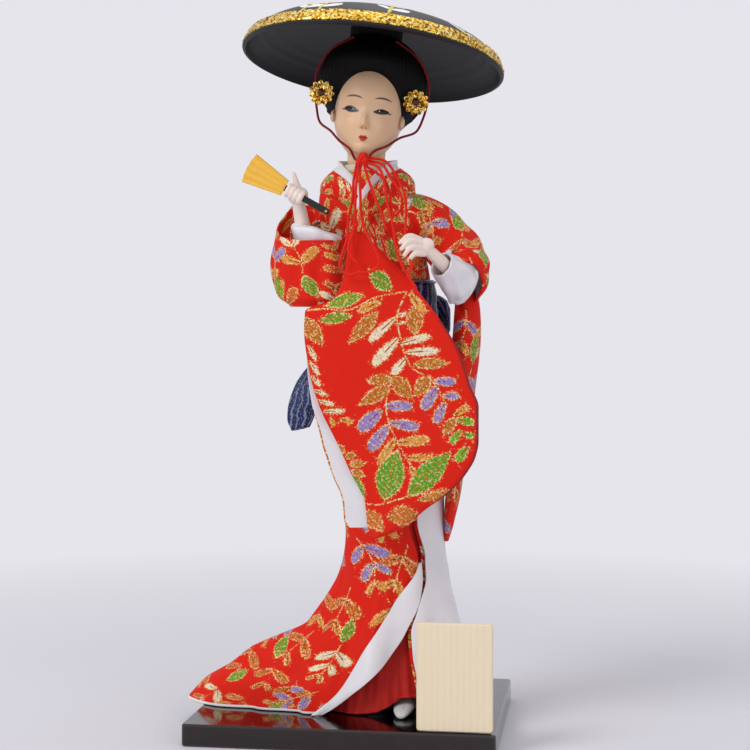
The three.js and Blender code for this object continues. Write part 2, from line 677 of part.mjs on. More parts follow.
function skullGeometry() {
  const heights = [-18.2, -17.2, -15.6, -13.4, -11.6, -10.4, -9.2, -7.8, -6.4, -5.2, -3.6, -1.6, 0.4, 3,
    7, 12, 17, 21, 25.6];
  const bearings = range(33, -Math.PI, Math.PI).slice(0, 32)
    .map((u) => THREE.MathUtils.radToDeg(u - 0.62 * Math.sin(u)));
  return loft(heights.map((z) => bearings.map((degrees) => {
    const [x, y] = skullAt(degrees, z, 0);
    const front = Math.abs(degrees) < 80 ? faceDepth(x, z) : 0;
    return [x, y - front, z];
  })));
}

// Plain form of the skull, a little larger, that the hair is hollowed out by
function skullSpace() {
  return loft([-18.2, -14.6, -9.5, -4, 1, 7, 13, 18, 22.4, 25.6].map((z) => (
    range(21, -180, 180).slice(0, 20).map((degrees) => {
      const [x, y] = skullAt(degrees, z, 1.6 * clearance);
      return [x, y, z];
    }))));
}

function hairGeometry(grow) {
  const heights = [-14, -9, -3, 4, 11, 17, 22, 27, 31, 34.6];
  const ends = { [heights[0]]: -grow, [heights[heights.length - 1]]: grow };
  return loft(heights.map((z) => range(27, -180, 180).slice(0, 26).map((degrees) => {
    const [x, y] = hairAt(degrees, z, grow);
    return [x, y, z + (ends[z] ?? 0)];
  })));
}

function addHead() {
  const column = loft([
    ovalRing(16, neck.x, 0, trunkTop - neck.plugDepth, neck.plugRadius, neck.plugRadius),
    ovalRing(16, neck.x, 0, trunkTop + clearance, neck.plugRadius, neck.plugRadius),
    ovalRing(16, neck.x, 0, trunkTop + clearance + 0.4, neck.radius, neck.radius),
    ovalRing(16, neck.x + 0.6, 0, neck.top, neck.radius, neck.radius),
  ]);
  addMesh(doll, 'head', join(onHead(skullGeometry()), column), 'skin');

  const window = new THREE.Shape();
  window.moveTo(-faceWindow.halfWidth, -30);
  window.lineTo(faceWindow.halfWidth, -30);
  window.lineTo(faceWindow.halfWidth, faceWindow.springZ);
  window.absellipse(0, faceWindow.springZ, faceWindow.halfWidth, faceWindow.rise, 0, Math.PI);
  const opening = new THREE.ExtrudeGeometry(window, { depth: 40, bevelEnabled: false, curveSegments: 8 });
  opening.rotateX(Math.PI / 2).translate(0, faceWindow.depth, 0);
  const neckSpace = rod([neck.x + 0.6, 0, 212], [neck.x + 0.6, 0, neck.top + 6], neck.radius + 1.2, 16);
  addMesh(doll, 'hair_shell', cut(
    onHead(hairGeometry(0)),
    onHead(skullSpace()),
    onHead(opening),
    neckSpace,
  ), 'hair');

  const knob = new THREE.SphereGeometry(1, 16, 9).scale(bun.a, bun.b, bun.c).translate(bun.x, bun.y, bun.z);
  addMesh(doll, 'hair_bun', cut(onHead(knob), onHead(hairGeometry(clearance))), 'hair');
}

function rosetteGeometry(side) {
  const outline = new THREE.Shape(range(4 * rosette.petals + 1, 0, 2 * Math.PI).slice(0, -1).map((angle) => {
    const r = rosette.radius * (0.86 + 0.14 * Math.abs(Math.cos((rosette.petals / 2) * angle)));
    return new THREE.Vector2(r * Math.cos(angle), r * Math.sin(angle));
  }));
  outline.holes = range(rosette.petals + 1, 0, 2 * Math.PI).slice(0, -1).map((angle) => {
    const hole = new THREE.Path();
    hole.absarc(0.64 * rosette.radius * Math.cos(angle), 0.64 * rosette.radius * Math.sin(angle), 0.72, 0, 2 * Math.PI);
    return hole;
  });
  const disc = new THREE.ExtrudeGeometry(outline, {
    depth: rosette.thickness, bevelEnabled: false, curveSegments: 2,
  });
  disc.rotateX(Math.PI / 2).translate(side * rosette.x, rosette.back, rosette.z);
  const stem = rod([side * rosette.x, rosette.back - 0.2, rosette.z], [side * rosette.x, 2, rosette.z], 0.9, 8);
  return onHead(join(disc, stem));
}

function addRosettes() {
  [['left', -1], ['right', 1]].forEach(([name, side]) => {
    addMesh(doll, `hair_rosette_${name}`, cut(rosetteGeometry(side), onHead(hairGeometry(clearance))), 'gold');
    const bead = new THREE.SphereGeometry(rosette.bead, 10, 4, 0, 2 * Math.PI, 0, Math.PI / 2);
    const cap = new THREE.CircleGeometry(rosette.bead, 10).rotateX(Math.PI / 2);
    const dome = mergeBodies(bead, cap);
    dome.rotateX(Math.PI);
    dome.translate(side * rosette.x, rosette.back - rosette.thickness - clearance, rosette.z);
    addMesh(doll, `rosette_bead_${name}`, onHead(dome), 'bead');
  });
}

function mergeBodies(...geometries) {
  const position = geometries.flatMap((g) => {
    const flat = g.index ? g.toNonIndexed() : g;
    return Array.from(flat.attributes.position.array);
  });
  const merged = new THREE.BufferGeometry();
  merged.setAttribute('position', new THREE.Float32BufferAttribute(position, 3));
  return merged;
}

function addHat() {
  const narrow = (hat.radius - hat.wall) / hat.radius;
  const inside = hatCrown.map(([r, z]) => [r * narrow, z - hat.wall]).reverse();
  const shell = revolve([...hatCrown, ...inside], hat.sides);
  addMesh(doll, 'hat_shell', shell.applyMatrix4(hatPose), 'hatShell');

  const crown = curveThrough(hatCrown);
  const edge = (r, lift) => [r + lift * 0.78, crown(r) + lift * 0.6];
  const outer = hat.radius - 0.5;
  const inner = outer - braid.reach;
  const section = [
    edge(outer, clearance), edge(outer, clearance + braid.thickness),
    edge(inner, clearance + braid.thickness), edge(inner, clearance), edge(outer, clearance),
  ];
  addMesh(doll, 'hat_braid', revolve(section, hat.sides).applyMatrix4(hatPose), 'gold');

  const padTop = crown(hat.padRadius / narrow) - hat.wall - clearance;
  const pad = rod([0, 0, hat.padLow], [0, 0, padTop], hat.padRadius, 18).applyMatrix4(hatPose);
  addMesh(doll, 'hat_pad', cut(pad, onHead(hairGeometry(clearance))), 'padding');
}

// Chin cord: down each side of the hair, along the jaw to the knot
function addChinCord() {
  const hairCord = (side, degrees, z) => hairAt(side * degrees, z, chinCord.lift);
  const jawCord = (side, degrees, z) => skullAt(side * degrees, z, chinCord.lift);
  [['left', -1], ['right', 1]].forEach(([name, side]) => {
    const route = [
      hairCord(side, 34, 30.5), hairCord(side, 62, 25), hairCord(side, 80, 17), hairCord(side, 90, 9),
      hairCord(side, 88, 2), hairCord(side, 80, -3), jawCord(side, 70, -8.4), jawCord(side, 56, -12.6),
      jawCord(side, 36, -16.2), [side * 2.6, -13.4, -19.6],
    ].map((p) => new THREE.Vector3(...p).applyMatrix4(headPose).toArray());
    addMesh(doll, `chin_cord_${name}`, tube(route, chinCord.radius, 22, 6), 'darkCord');
  });
  const centre = new THREE.Vector3(...chinCord.knot).applyMatrix4(headPose);
  const knot = new THREE.SphereGeometry(1, 10, 6).scale(2, 1.5, 1.7);
  addMesh(doll, 'bow_knot', knot.translate(...centre.toArray()), 'cord');
}

// Free cords of the bow, each a route chosen by hand
const bowCords = {
  bow_loop_left: [
    [3.2, -19.4, 223], [2.2, -20.4, 217], [2.3, -23, 210], [2.2, -31, 202.5], [2.6, -37.2, 196.5],
    [2.4, -39.2, 191], [0.6, -39.6, 185.5], [-0.2, -39.8, 181.6], [1.4, -39.9, 178.8], [4, -40, 177.8],
    [7.6, -40, 178.6], [11.4, -40, 178.8], [14.4, -40, 180], [15.6, -40, 183.2], [14, -39.8, 187.6],
    [11.2, -39.2, 192.4], [8.6, -36.5, 197.8], [6.6, -29.5, 204], [5.4, -23, 211], [4.8, -20.8, 217],
    [5, -19.8, 222.4],
  ],
  bow_tail_left: [
    [4, -20.6, 222.2], [3.4, -21.8, 214], [4, -27, 207], [5, -34.4, 200], [4.8, -38.6, 194],
    [3.2, -40.6, 188], [5, -41.2, 184.4], [7.2, -41.4, 182],
  ],
  bow_tail_middle: [
    [6.6, -19.8, 222.6], [8.2, -20.6, 217.6], [11, -22.4, 210.4], [14.2, -25.4, 203.6], [17, -28.6, 195.4],
  ],
  bow_tail_right: [
    [8, -19.8, 224], [12.4, -21, 222], [14.8, -22, 217], [16.2, -24.4, 209.6], [18.6, -27.8, 201.4],
    [20.4, -32.6, 194.6], [21.8, -36.8, 188.2], [24, -39, 182.4], [27, -39.6, 177], [30.4, -39.8, 172.2],
  ],
  bow_loop_right: [
    [7.8, -17.9, 225.2], [13.4, -17.6, 223.6], [17, -18.6, 218.4], [20.6, -21.4, 213], [22.6, -24.6, 208],
    [22, -27, 203.6], [19.8, -27.2, 202], [18.2, -25, 205], [17.4, -22.4, 210.4], [15, -19.8, 216.6],
    [10.6, -18.6, 220.6], [7.6, -19.4, 222.4],
  ],
  hand_cord: [
    [8, -17, 226.4], [14.6, -16.6, 225], [19.4, -18.4, 218.6], [23.6, -24, 210.6], [25, -30.6, 203],
    [25.4, -35.4, 196.8],
  ],
  hand_cord_tail: [
    [27.4, -37.5, 183.5], [28.6, -39.8, 181.2], [27.4, -42, 177.6], [29.4, -42.2, 173.4], [32.4, -42, 168.4],
  ],
};

function addBowCords() {
  Object.entries(bowCords).forEach(([name, route]) => {
    addMesh(doll, name, tube(route, cordRadius, 2 * (route.length - 1), 8), 'cord');
  });
}

// Right sleeve: an open bag round the forearm, and the long panel that hangs from it
function addRightSleeve() {
  const centreX = stations(rightSleeve, 'x');
  const centreY = stations(rightSleeve, 'y');
  const a = stations(rightSleeve, 'a');
  const b = stations(rightSleeve, 'b');
  const low = rightSleeve[0].z;
  const lip = curveThrough(rightSleeveLip);
  const bearings = range(21, -180, 180).slice(0, 20);
  const ring = (t, inset, floor) => bearings.map((degrees) => {
    const z = THREE.MathUtils.lerp(low + floor, lip(degrees), t);
    const angle = toRadians(degrees);
    return [
      centreX(z) + (a(z) - inset) * Math.sin(angle),
      centreY(z) - (b(z) - inset) * Math.cos(angle),
      z,
    ];
  });
  const levels = [0, 0.15, 0.35, 0.6, 0.8, 1];
  const shell = loft([
    ...levels.map((t) => ring(t, 0, 0)),
    ...levels.slice().reverse().map((t) => ring(t, clothWall, 1)),
  ]);
  addMesh(doll, 'sleeve_right_bag', cut(shell, bodiceSpace()), 'brocade');

  const cuffTop = (degrees) => rightCuff.top - rightCuff.slope * Math.sin(toRadians(degrees));
  const cuffRing = (t, inset) => bearings.map((degrees) => {
    const angle = toRadians(degrees);
    return [
      rightCuff.x + (rightCuff.a - inset) * Math.sin(angle),
      rightCuff.y - (rightCuff.b - inset) * Math.cos(angle),
      THREE.MathUtils.lerp(rightCuff.low, cuffTop(degrees), t),
    ];
  });
  const steps = [0, 1];
  addMesh(doll, 'cuff_right', loft([
    ...steps.map((t) => cuffRing(t, 0)),
    ...steps.slice().reverse().map((t) => cuffRing(t, rightCuff.wall)),
  ], true), 'satin');
}

function addSleevePanel() {
  const left = curveThrough(panelLeft);
  const right = curveThrough(panelRight);
  const low = panelLeft[0][0];
  const high = panelLeft[panelLeft.length - 1][0];
  const heights = range(19, low, high);
  const front = (s, z) => {
    const droop = panel.bulge * Math.sin(Math.PI * s);
    const fold = panel.fold * Math.sin(2.5 * Math.PI * s + 0.6) * Math.sin(Math.PI * ((z - low) / (high - low)));
    return panel.y - droop - fold;
  };
  const grid = (back) => heights.map((z) => range(9, 0, 1).map((s) => [
    THREE.MathUtils.lerp(left(z), right(z), s),
    front(s, z) + back * (panel.edge + (panel.thickness - panel.edge) * Math.sin(Math.PI * s)),
    z,
  ]));
  addMesh(doll, 'sleeve_right_panel', sheet(grid(0), grid(1)), 'brocade');

  const reach = curveThrough(panelLining.reach);
  const levels = range(10, panelLining.low, panelLining.high);
  const strip = (back) => levels.map((z) => range(3, 0, 1).map((s) => [
    THREE.MathUtils.lerp(left(z) - reach(z), left(z) + panelLining.tuck, s),
    panel.y + panel.edge + clearance + panel.fold + back,
    z,
  ]));
  addMesh(doll, 'sleeve_right_lining', sheet(strip(0), strip(panelLining.thickness)), 'satin');
}

// Space kept for the upper kimono, for pieces that are sewn against it
function bodiceSpace() {
  return loft(bodiceLevels.map((z) => trunkRing(z, 2 * clearance + clothWall, bodiceSides)));
}

function pipe(points, radii, wall, sides, steps) {
  const curve = new THREE.CatmullRomCurve3(points.map((p) => new THREE.Vector3(...p)));
  const radiusAt = curveThrough(radii.map((r, i) => [i / (radii.length - 1), r]));
  const up = new THREE.Vector3(0, 0, 1);
  const ring = (t, inset) => {
    const along = curve.getTangent(t);
    const side = new THREE.Vector3().crossVectors(along, up).normalize();
    const top = new THREE.Vector3().crossVectors(side, along);
    return range(sides + 1, 0, 2 * Math.PI).slice(0, sides).map((angle) => curve.getPoint(t)
      .addScaledVector(side, (radiusAt(t) - inset) * Math.cos(angle))
      .addScaledVector(top, (radiusAt(t) - inset) * Math.sin(angle)).toArray());
  };
  const stops = range(steps, 0, 1);
  return loft([
    ...stops.map((t) => ring(t, 0)),
    ...stops.slice().reverse().map((t) => ring(t, wall)),
  ], true);
}

function addLeftSleeve() {
  const sleeve = pipe(leftSleeveRoute, leftSleeveRadii, clothWall, 18, 8);
  addMesh(doll, 'sleeve_left_bag', cut(sleeve, bodiceSpace()), 'brocade');
  const mouth = leftSleeveRoute.slice(-1)[0];
  const before = leftSleeveRoute.slice(-2)[0];
  const outward = new THREE.Vector3(...mouth).sub(new THREE.Vector3(...before)).normalize();
  const cuffEnd = new THREE.Vector3(...mouth).addScaledVector(outward, leftCuff.proud);
  const cuffStart = new THREE.Vector3(...mouth).addScaledVector(outward, -leftCuff.length);
  const middle = cuffStart.clone().lerp(cuffEnd, 0.5);
  addMesh(doll, 'cuff_left', pipe(
    [cuffStart.toArray(), middle.toArray(), cuffEnd.toArray()],
    [leftCuff.radius, leftCuff.radius, leftCuff.radius],
    leftCuff.wall,
    18,
    2,
  ), 'satin');

  const [x, a, b] = ['x', 'a', 'b'].map((key) => stations(leftDrop, key));
  const heights = range(12, leftDrop[0].z, leftDrop[leftDrop.length - 1].z);
  addMesh(doll, 'sleeve_left_panel', loft(heights.map((z) => (
    ovalRing(14, x(z), leftDropY, z, a(z), b(z))))), 'brocade');
}

// Hands
function fingerRound(axisPoint, axis, along, radius, thickness, from, to) {
  const side = new THREE.Vector3(0, -1, 0);
  const up = new THREE.Vector3().crossVectors(axis, side);
  const centre = axisPoint.clone().addScaledVector(axis, along);
  return limb(range(5, from, to).map((degrees) => centre.clone()
    .addScaledVector(side, radius * Math.cos(toRadians(degrees)))
    .addScaledVector(up, radius * Math.sin(toRadians(degrees))).toArray()), [thickness, thickness, thickness * 0.8], 6, 5);
}

function fanAxis() {
  return new THREE.Vector3(Math.cos(toRadians(fan.bearing)), 0, Math.sin(toRadians(fan.bearing)));
}

function addRightArm() {
  const { elbow, wrist, palm } = rightHand;
  const middle = elbow.map((v, i) => (v + wrist[i]) / 2);
  const forearm = limb([elbow, middle, wrist, palm], [3.5, 3.3, 3, 2.4], 12, 6);
  const back = new THREE.SphereGeometry(1, 10, 6).scale(4.2, 2.2, 3.6).translate(...palm);
  const axis = fanAxis();
  const pivot = new THREE.Vector3(...fan.pivot);
  const fingers = [0, 1, 2, 3].map((i) => fingerRound(
    pivot,
    axis,
    rightHand.firstFinger + i * rightHand.fingerPitch,
    rightHand.fingerReach,
    rightHand.fingerRadius,
    150,
    -120,
  ));
  const thumb = limb(rightHand.thumb, [1.3, 1.15, 0.8], 7, 4);
  const bore = new THREE.BoxGeometry(
    60,
    fanStack() + 2 * clearance,
    fan.stickWidth + 2 * clearance,
  ).rotateY(-toRadians(fan.bearing)).translate(...fan.pivot);
  const wireBore = rod([elbow[0], elbow[1], elbow[2] - 8], [elbow[0], elbow[1], elbow[2] + 4], wireRadius + clearance);
  addMesh(doll, 'forearm_right', cut(join(forearm, back, ...fingers, thumb), bore, wireBore), 'skin');
  const route = [
    [-9, -1, 203.5], [-15.4, -1, 202], [-19.6, -6, 197], [-21.4, -13, 186], [-20, -18.4, 176.4],
    [(elbow[0] - 20) / 2, (elbow[1] - 18.4) / 2 - 1, 171.5], [elbow[0], elbow[1], elbow[2] - 6], [elbow[0], elbow[1], elbow[2] + 3],
  ];
  addMesh(doll, 'arm_wire_right', tube(route, wireRadius, 16, 8), 'steel');
}

function addLeftArm() {
  const { elbow, wrist, palm } = leftHand;
  const forearm = limb([elbow, wrist, palm], [3.4, 2.7, 2.4], 12, 6);
  const back = new THREE.SphereGeometry(1, 10, 6).scale(4.6, 2, 3.2)
    .rotateY(toRadians(-24)).translate(palm[0] - 0.6, palm[1] - 0.4, palm[2] + 0.2);
  const fingers = leftHand.fingers.map((route) => limb(route, [1.1, 1, 0.7], 7, 5));
  const toElbow = new THREE.Vector3(...elbow).sub(new THREE.Vector3(...wrist)).normalize();
  const mouth = new THREE.Vector3(...elbow).addScaledVector(toElbow, 6).toArray();
  const seat = new THREE.Vector3(...elbow).addScaledVector(toElbow, -4).toArray();
  const wireEnd = new THREE.Vector3(...elbow).addScaledVector(toElbow, -3).toArray();
  const entry = new THREE.Vector3(...elbow).addScaledVector(toElbow, 4).toArray();
  const wireBore = rod(mouth, seat, wireRadius + 2 * clearance);
  addMesh(doll, 'forearm_left', cut(join(forearm, back, ...fingers), wireBore), 'skin');
  const route = [[17, -1, 203.5], [26, -1, 202], [36, -2, 194.6], [45, -5, 184], [49.6, -9.6, 178], entry, wireEnd];
  addMesh(doll, 'arm_wire_left', tube(route, wireRadius, 14, 8), 'steel');
}

// Fan
function fanStack() {
  return 3 * fan.stickThickness + 2 * clearance;
}

function addFan() {
  const toPlace = (geometry) => geometry.rotateX(Math.PI / 2)
    .rotateY(-toRadians(fan.bearing)).translate(...fan.pivot);
  const stick = (level) => {
    const shape = new THREE.Shape();
    const half = fan.stickWidth / 2;
    shape.absarc(0, 0, half, Math.PI / 2, 1.5 * Math.PI);
    shape.lineTo(fan.leafStart - clearance, -half);
    shape.lineTo(fan.leafStart - clearance, half);
    shape.holes.push(new THREE.Path().absarc(0, 0, fan.rivetRadius + clearance / 2, 0, 2 * Math.PI));
    const plate = new THREE.ExtrudeGeometry(shape, {
      depth: fan.stickThickness, bevelEnabled: false, curveSegments: 5,
    });
    return toPlace(plate.translate(0, 0, level * (fan.stickThickness + clearance) - fan.stickThickness / 2));
  };
  addMesh(doll, 'fan_guard_front', stick(1), 'fanStick');
  addMesh(doll, 'fan_rib', stick(0), 'fanStick');
  addMesh(doll, 'fan_guard_back', stick(-1), 'fanStick');
  const rivet = new THREE.CylinderGeometry(fan.rivetRadius, fan.rivetRadius, fanStack(), 12).translate(...fan.pivot);
  addMesh(doll, 'fan_rivet', rivet, 'gold');

  const width = (t) => THREE.MathUtils.lerp(fan.rootWidth, fan.tipWidth, t);
  const rows = range(5, 0, 1);
  const ply = (level) => rows.map((t) => range(2 * fan.pleats + 1, -1, 1).map((s, i) => [
    THREE.MathUtils.lerp(fan.leafStart, fan.leafEnd, t) - 0.9 * s * s * t,
    (width(t) / 2) * s,
    level + (i % 2 ? fan.pleatDepth / 2 : -fan.pleatDepth / 2) * (0.4 + 0.6 * t),
  ]));
  addMesh(doll, 'fan_leaf', toPlace(sheet(ply(0.3), ply(-0.3))), 'fanPaper');
}

// Sash bow: a knot, two padded loops and two padded tails
function addSashBow() {
  const back = trunkB(bow.z) + 2 * clearance + clothWall + obi.wall + clearance;
  const centreX = trunkX(bow.z);
  const knotHalf = bow.knotWidth / 2;
  const knot = new THREE.SphereGeometry(1, 14, 8).scale(knotHalf, bow.knotDepth / 2, bow.loopHeight / 2 - 3);
  const knotY = back + bow.knotDepth / 2;
  const space = loft([obi.low - 4, 150, 159, 168, obi.high + 4].map((z) => trunkRing(
    z,
    3 * clearance + clothWall + obi.wall,
    32,
  )));
  const knotSolid = knot.translate(centreX, knotY, bow.z);
  addMesh(doll, 'bow_center_knot', cut(knotSolid, space), 'sash');
  const knotSpace = new THREE.SphereGeometry(1, 14, 8).scale(
    knotHalf + clearance,
    bow.knotDepth / 2 + clearance,
    bow.loopHeight / 2 - 3 + clearance,
  ).translate(centreX, knotY, bow.z);
  [['left', -1], ['right', 1]].forEach(([name, side]) => {
    const swell = curveThrough([[0, 0.42], [0.35, 0.82], [0.75, 1], [0.93, 0.8], [1, 0.45]]);
    const loopForm = (grow) => loft(range(9, 0, 1).map((t) => (
      range(13, 0, 2 * Math.PI).slice(0, 12).map((angle) => [
        centreX + side * (3 + bow.loopLength * t),
        knotY - 0.5 - 5 * t * t + ((bow.loopDepth / 2) * swell(t) + grow) * Math.cos(angle),
        bow.z + 1 + ((bow.loopHeight / 2) * swell(t) + grow) * Math.sin(angle),
      ]))));
    addMesh(doll, `bow_loop_${name}_pad`, cut(loopForm(0), knotSpace, space), 'sash');
    const path = new THREE.CatmullRomCurve3(tail.routes[name].map((p) => new THREE.Vector3(...p)));
    const taper = curveThrough([[0, 0.5], [0.25, 0.8], [0.6, 1], [0.9, 0.94], [1, 0.5]]);
    const across = new THREE.Vector3(...tail.across[name]).normalize();
    const tailRings = range(10, 0, 1).map((t) => {
      const thick = new THREE.Vector3().crossVectors(path.getTangent(t), across).normalize();
      return range(11, 0, 2 * Math.PI).slice(0, 10).map((angle) => path.getPoint(t)
        .addScaledVector(across, (tail.width / 2) * taper(t) * Math.cos(angle))
        .addScaledVector(thick, (tail.thickness / 2) * Math.sin(angle)).toArray());
    });
    addMesh(doll, `bow_tail_${name}_pad`, cut(loft(tailRings), knotSpace, space, loopForm(clearance)), 'sash');
  });
}

addBase();
addBody();
addFeet();
addSkirts();
addUpperKimono();
addCollars();
addHead();
addRosettes();
addHat();
addChinCord();
addBowCords();
addRightSleeve();
addSleevePanel();
addLeftSleeve();
addRightArm();
addLeftArm();
addFan();
addSashBow();

export default part;
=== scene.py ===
"""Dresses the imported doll: brocade kimono, lacquered hat, painted face, silk cords and board.

Tables of heights and routes are the part's own, in millimetres above the board's top. Every finished
piece lies at the origin in metres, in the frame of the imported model.
"""
import logging
import math
from dataclasses import dataclass
from enum import Enum
from typing import Callable, Sequence

import bmesh
import bpy
import numpy as np
from mathutils import Matrix, Vector


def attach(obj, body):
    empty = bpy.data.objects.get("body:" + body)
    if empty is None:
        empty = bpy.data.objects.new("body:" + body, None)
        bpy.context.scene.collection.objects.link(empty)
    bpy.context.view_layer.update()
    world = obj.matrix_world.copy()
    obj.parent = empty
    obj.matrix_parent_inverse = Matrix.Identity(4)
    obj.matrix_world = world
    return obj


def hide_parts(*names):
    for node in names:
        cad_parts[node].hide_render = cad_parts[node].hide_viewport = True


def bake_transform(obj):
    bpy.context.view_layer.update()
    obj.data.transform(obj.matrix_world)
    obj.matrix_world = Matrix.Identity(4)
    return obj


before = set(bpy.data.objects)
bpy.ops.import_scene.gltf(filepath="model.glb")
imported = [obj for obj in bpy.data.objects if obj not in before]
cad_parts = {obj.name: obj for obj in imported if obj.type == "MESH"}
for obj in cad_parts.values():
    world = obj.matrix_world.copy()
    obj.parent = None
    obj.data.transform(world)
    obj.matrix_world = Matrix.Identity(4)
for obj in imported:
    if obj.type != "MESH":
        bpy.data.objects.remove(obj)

LOG = logging.getLogger("doll")
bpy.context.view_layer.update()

MM = 0.001
BOARD_TOP = 9.0
CLEARANCE = 0.35
CLOTH_WALL = 0.9
CORD_RADIUS = 0.55
LINING_WALL = 0.8
MAP_MM = 100
NO_STEM = 9.0
OUTSIDE = -2.0
PETAL_TIP = 0.985
FAR_AWAY = 500.0
SAME_PLACE = 1e-6

Points = np.ndarray
Pair = tuple[float, float]


class Body(Enum):
    """The moving bodies that the finished pieces ride on."""

    FIGURE = "figure"
    HEAD = "head_and_hat"
    FAN = "fan"


class Tone(Enum):
    """Thread and paint colours of the woven and painted motifs, as sRGB hex."""

    CREAM = "#f8ecd0"
    LEAF = "#48a822"
    GREEN = "#5cbc2a"
    COPPER = "#d0641c"
    GOLD = "#e89a3c"
    FIRE = "#e4662c"
    PURPLE = "#9686d2"
    WHITE = "#f7f5f0"


class Form(Enum):
    """Outline of a motif."""

    PETAL = 0
    LEAF = 1


# ---------------------------------------------------------------- numbers and curves
def linear(code: str, alpha: float = 1.0) -> tuple[float, float, float, float]:
    """Turn an sRGB hex colour to linear values.

    Args:
        code: colour as #rrggbb.
        alpha: fourth value to keep with it.

    Returns:
        Red, green, blue and alpha.
    """
    parts = [int(code[i:i + 2], 16) / 255 for i in (1, 3, 5)]
    red, green, blue = [p / 12.92 if p <= 0.04045 else ((p + 0.055) / 1.055) ** 2.4 for p in parts]
    return red, green, blue, alpha


def place(points: Points) -> Points:
    """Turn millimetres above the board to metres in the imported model's frame.

    Args:
        points: array that ends in x, y, z.

    Returns:
        The same array in metres.
    """
    return (np.asarray(points, float) + (0.0, 0.0, BOARD_TOP)) * MM


def waves(pitch: float, unit: float = MAP_MM, turns: float = 6.28) -> float:
    """Scale of a wave texture on a map whose unit is so many mm.

    Args:
        pitch: pitch of the cloth or grain in mm.
        unit: how many mm one unit of the map is.
        turns: sets a wave's length, which is turns / 3.18 pitches.

    Returns:
        The scale.
    """
    return unit / pitch / turns


def bell(distance: Points, spread: float) -> Points:
    """Smooth bump of height 1 that is gone after about two spreads."""
    return np.exp(-((np.asarray(distance) / spread) ** 2))


def step(low: float, high: float, value: Points) -> Points:
    """Smooth rise from 0 at low to 1 at high."""
    t = np.clip((np.asarray(value, float) - low) / (high - low), 0, 1)
    return t * t * (3 - 2 * t)


@dataclass(frozen=True)
class Curve:
    """Smooth curve through (t, value) pairs that never overshoots them, as in the part's source."""

    pairs: tuple[Pair, ...]

    def __call__(self, t: Points | float) -> Points:
        """Value at t, held at its ends.

        Args:
            t: one number or an array.

        Returns:
            Values of the same shape.
        """
        knots, values = np.array(self.pairs, float).T
        rises = np.diff(values) / np.diff(knots)
        slopes = np.concatenate([rises[:1], np.zeros(len(knots) - 2), rises[-1:]])
        before, after = rises[:-1], rises[1:]
        total = np.where(before * after > 0, before + after, 1)
        slopes[1:-1] = np.where(before * after > 0, 2 * before * after / total, 0)
        t = np.asarray(t, float)
        i = np.searchsorted(knots[1:-1], t, side="left")
        width = knots[i + 1] - knots[i]
        s = np.clip((t - knots[i]) / width, 0, 1)
        bend = s * s * (3 - 2 * s)
        lean = slopes[i] * s * (1 - s) ** 2 - slopes[i + 1] * s * s * (1 - s)
        return values[i] * (1 - bend) + values[i + 1] * bend + width * lean


@dataclass(frozen=True)
class Stations:
    """A table of heights with one value in each column."""

    rows: tuple[tuple[float, ...], ...]

    def __call__(self, z: Points | float, column: int) -> Points:
        """Value of a column at a height."""
        return Curve(tuple((row[0], row[column]) for row in self.rows))(z)

    @property
    def low(self) -> float:
        """Lowest height of the table."""
        return self.rows[0][0]

    @property
    def high(self) -> float:
        """Highest height of the table."""
        return self.rows[-1][0]


def spline(points: Sequence[Sequence[float]], per_span: int = 8) -> Points:
    """Centripetal curve through points, the same one as the CAD routes follow.

    Args:
        points: places that it goes through.
        per_span: samples between two places.

    Returns:
        Array of places along the curve.
    """
    p = np.asarray(points, float)
    p = np.vstack([2 * p[0] - p[1], p, 2 * p[-1] - p[-2]])
    out = []
    for i in range(1, len(p) - 2):
        d0, d1, d2 = [max(np.linalg.norm(p[k + 1] - p[k]) ** 0.5, 1e-4) for k in (i - 1, i, i + 1)]
        m1 = ((p[i] - p[i - 1]) / d0 - (p[i + 1] - p[i - 1]) / (d0 + d1) + (p[i + 1] - p[i]) / d1) * d1
        m2 = ((p[i + 1] - p[i]) / d1 - (p[i + 2] - p[i]) / (d1 + d2) + (p[i + 2] - p[i + 1]) / d2) * d1
        t = np.linspace(0, 1, per_span + 1)[:-1, None]
        c2 = -3 * p[i] + 3 * p[i + 1] - 2 * m1 - m2
        c3 = 2 * p[i] - 2 * p[i + 1] + m1 + m2
        out.append(p[i] + m1 * t + c2 * t ** 2 + c3 * t ** 3)
    return np.vstack(out + [p[-2:-1]])


def even(points: Points, count: int) -> Points:
    """Resample a path to evenly spaced places.

    Args:
        points: the path.
        count: how many places to return.

    Returns:
        Array of count places.
    """
    run = path_length(points)
    wanted = np.linspace(0, run[-1], count)
    return np.column_stack([np.interp(wanted, run, points[:, k]) for k in range(3)])


def path_length(points: Points) -> Points:
    """Running length along a path."""
    return np.concatenate([[0], np.cumsum(np.linalg.norm(np.diff(points, axis=0), axis=1))])


def tube_rings(path: Points, radii: Points, sides: int) -> Points:
    """Rings of a tube that doesn't twist along its path.

    Args:
        path: centres of the rings.
        radii: one radius for each ring.
        sides: points in each ring.

    Returns:
        Array of rings by sides by three.
    """
    along = np.gradient(path, axis=0)
    along /= np.linalg.norm(along, axis=1)[:, None]
    normal = np.cross(along[0], (0.3, 0.2, 1.0))
    angles = np.linspace(0, 2 * np.pi, sides, endpoint=False)
    rings = []
    for centre, direction, radius in zip(path, along, radii):
        normal = normal - direction * np.dot(normal, direction)
        normal /= np.linalg.norm(normal)
        side = np.cross(direction, normal)
        rings.append(centre + radius * (np.outer(np.cos(angles), normal) + np.outer(np.sin(angles), side)))
    return np.array(rings)


# ---------------------------------------------------------------- meshes
def bare_selection() -> None:
    """Leave edit mode and deselect everything."""
    if bpy.context.object and bpy.context.object.mode != "OBJECT":
        bpy.ops.object.mode_set(mode="OBJECT")
    bpy.ops.object.select_all(action="DESELECT")


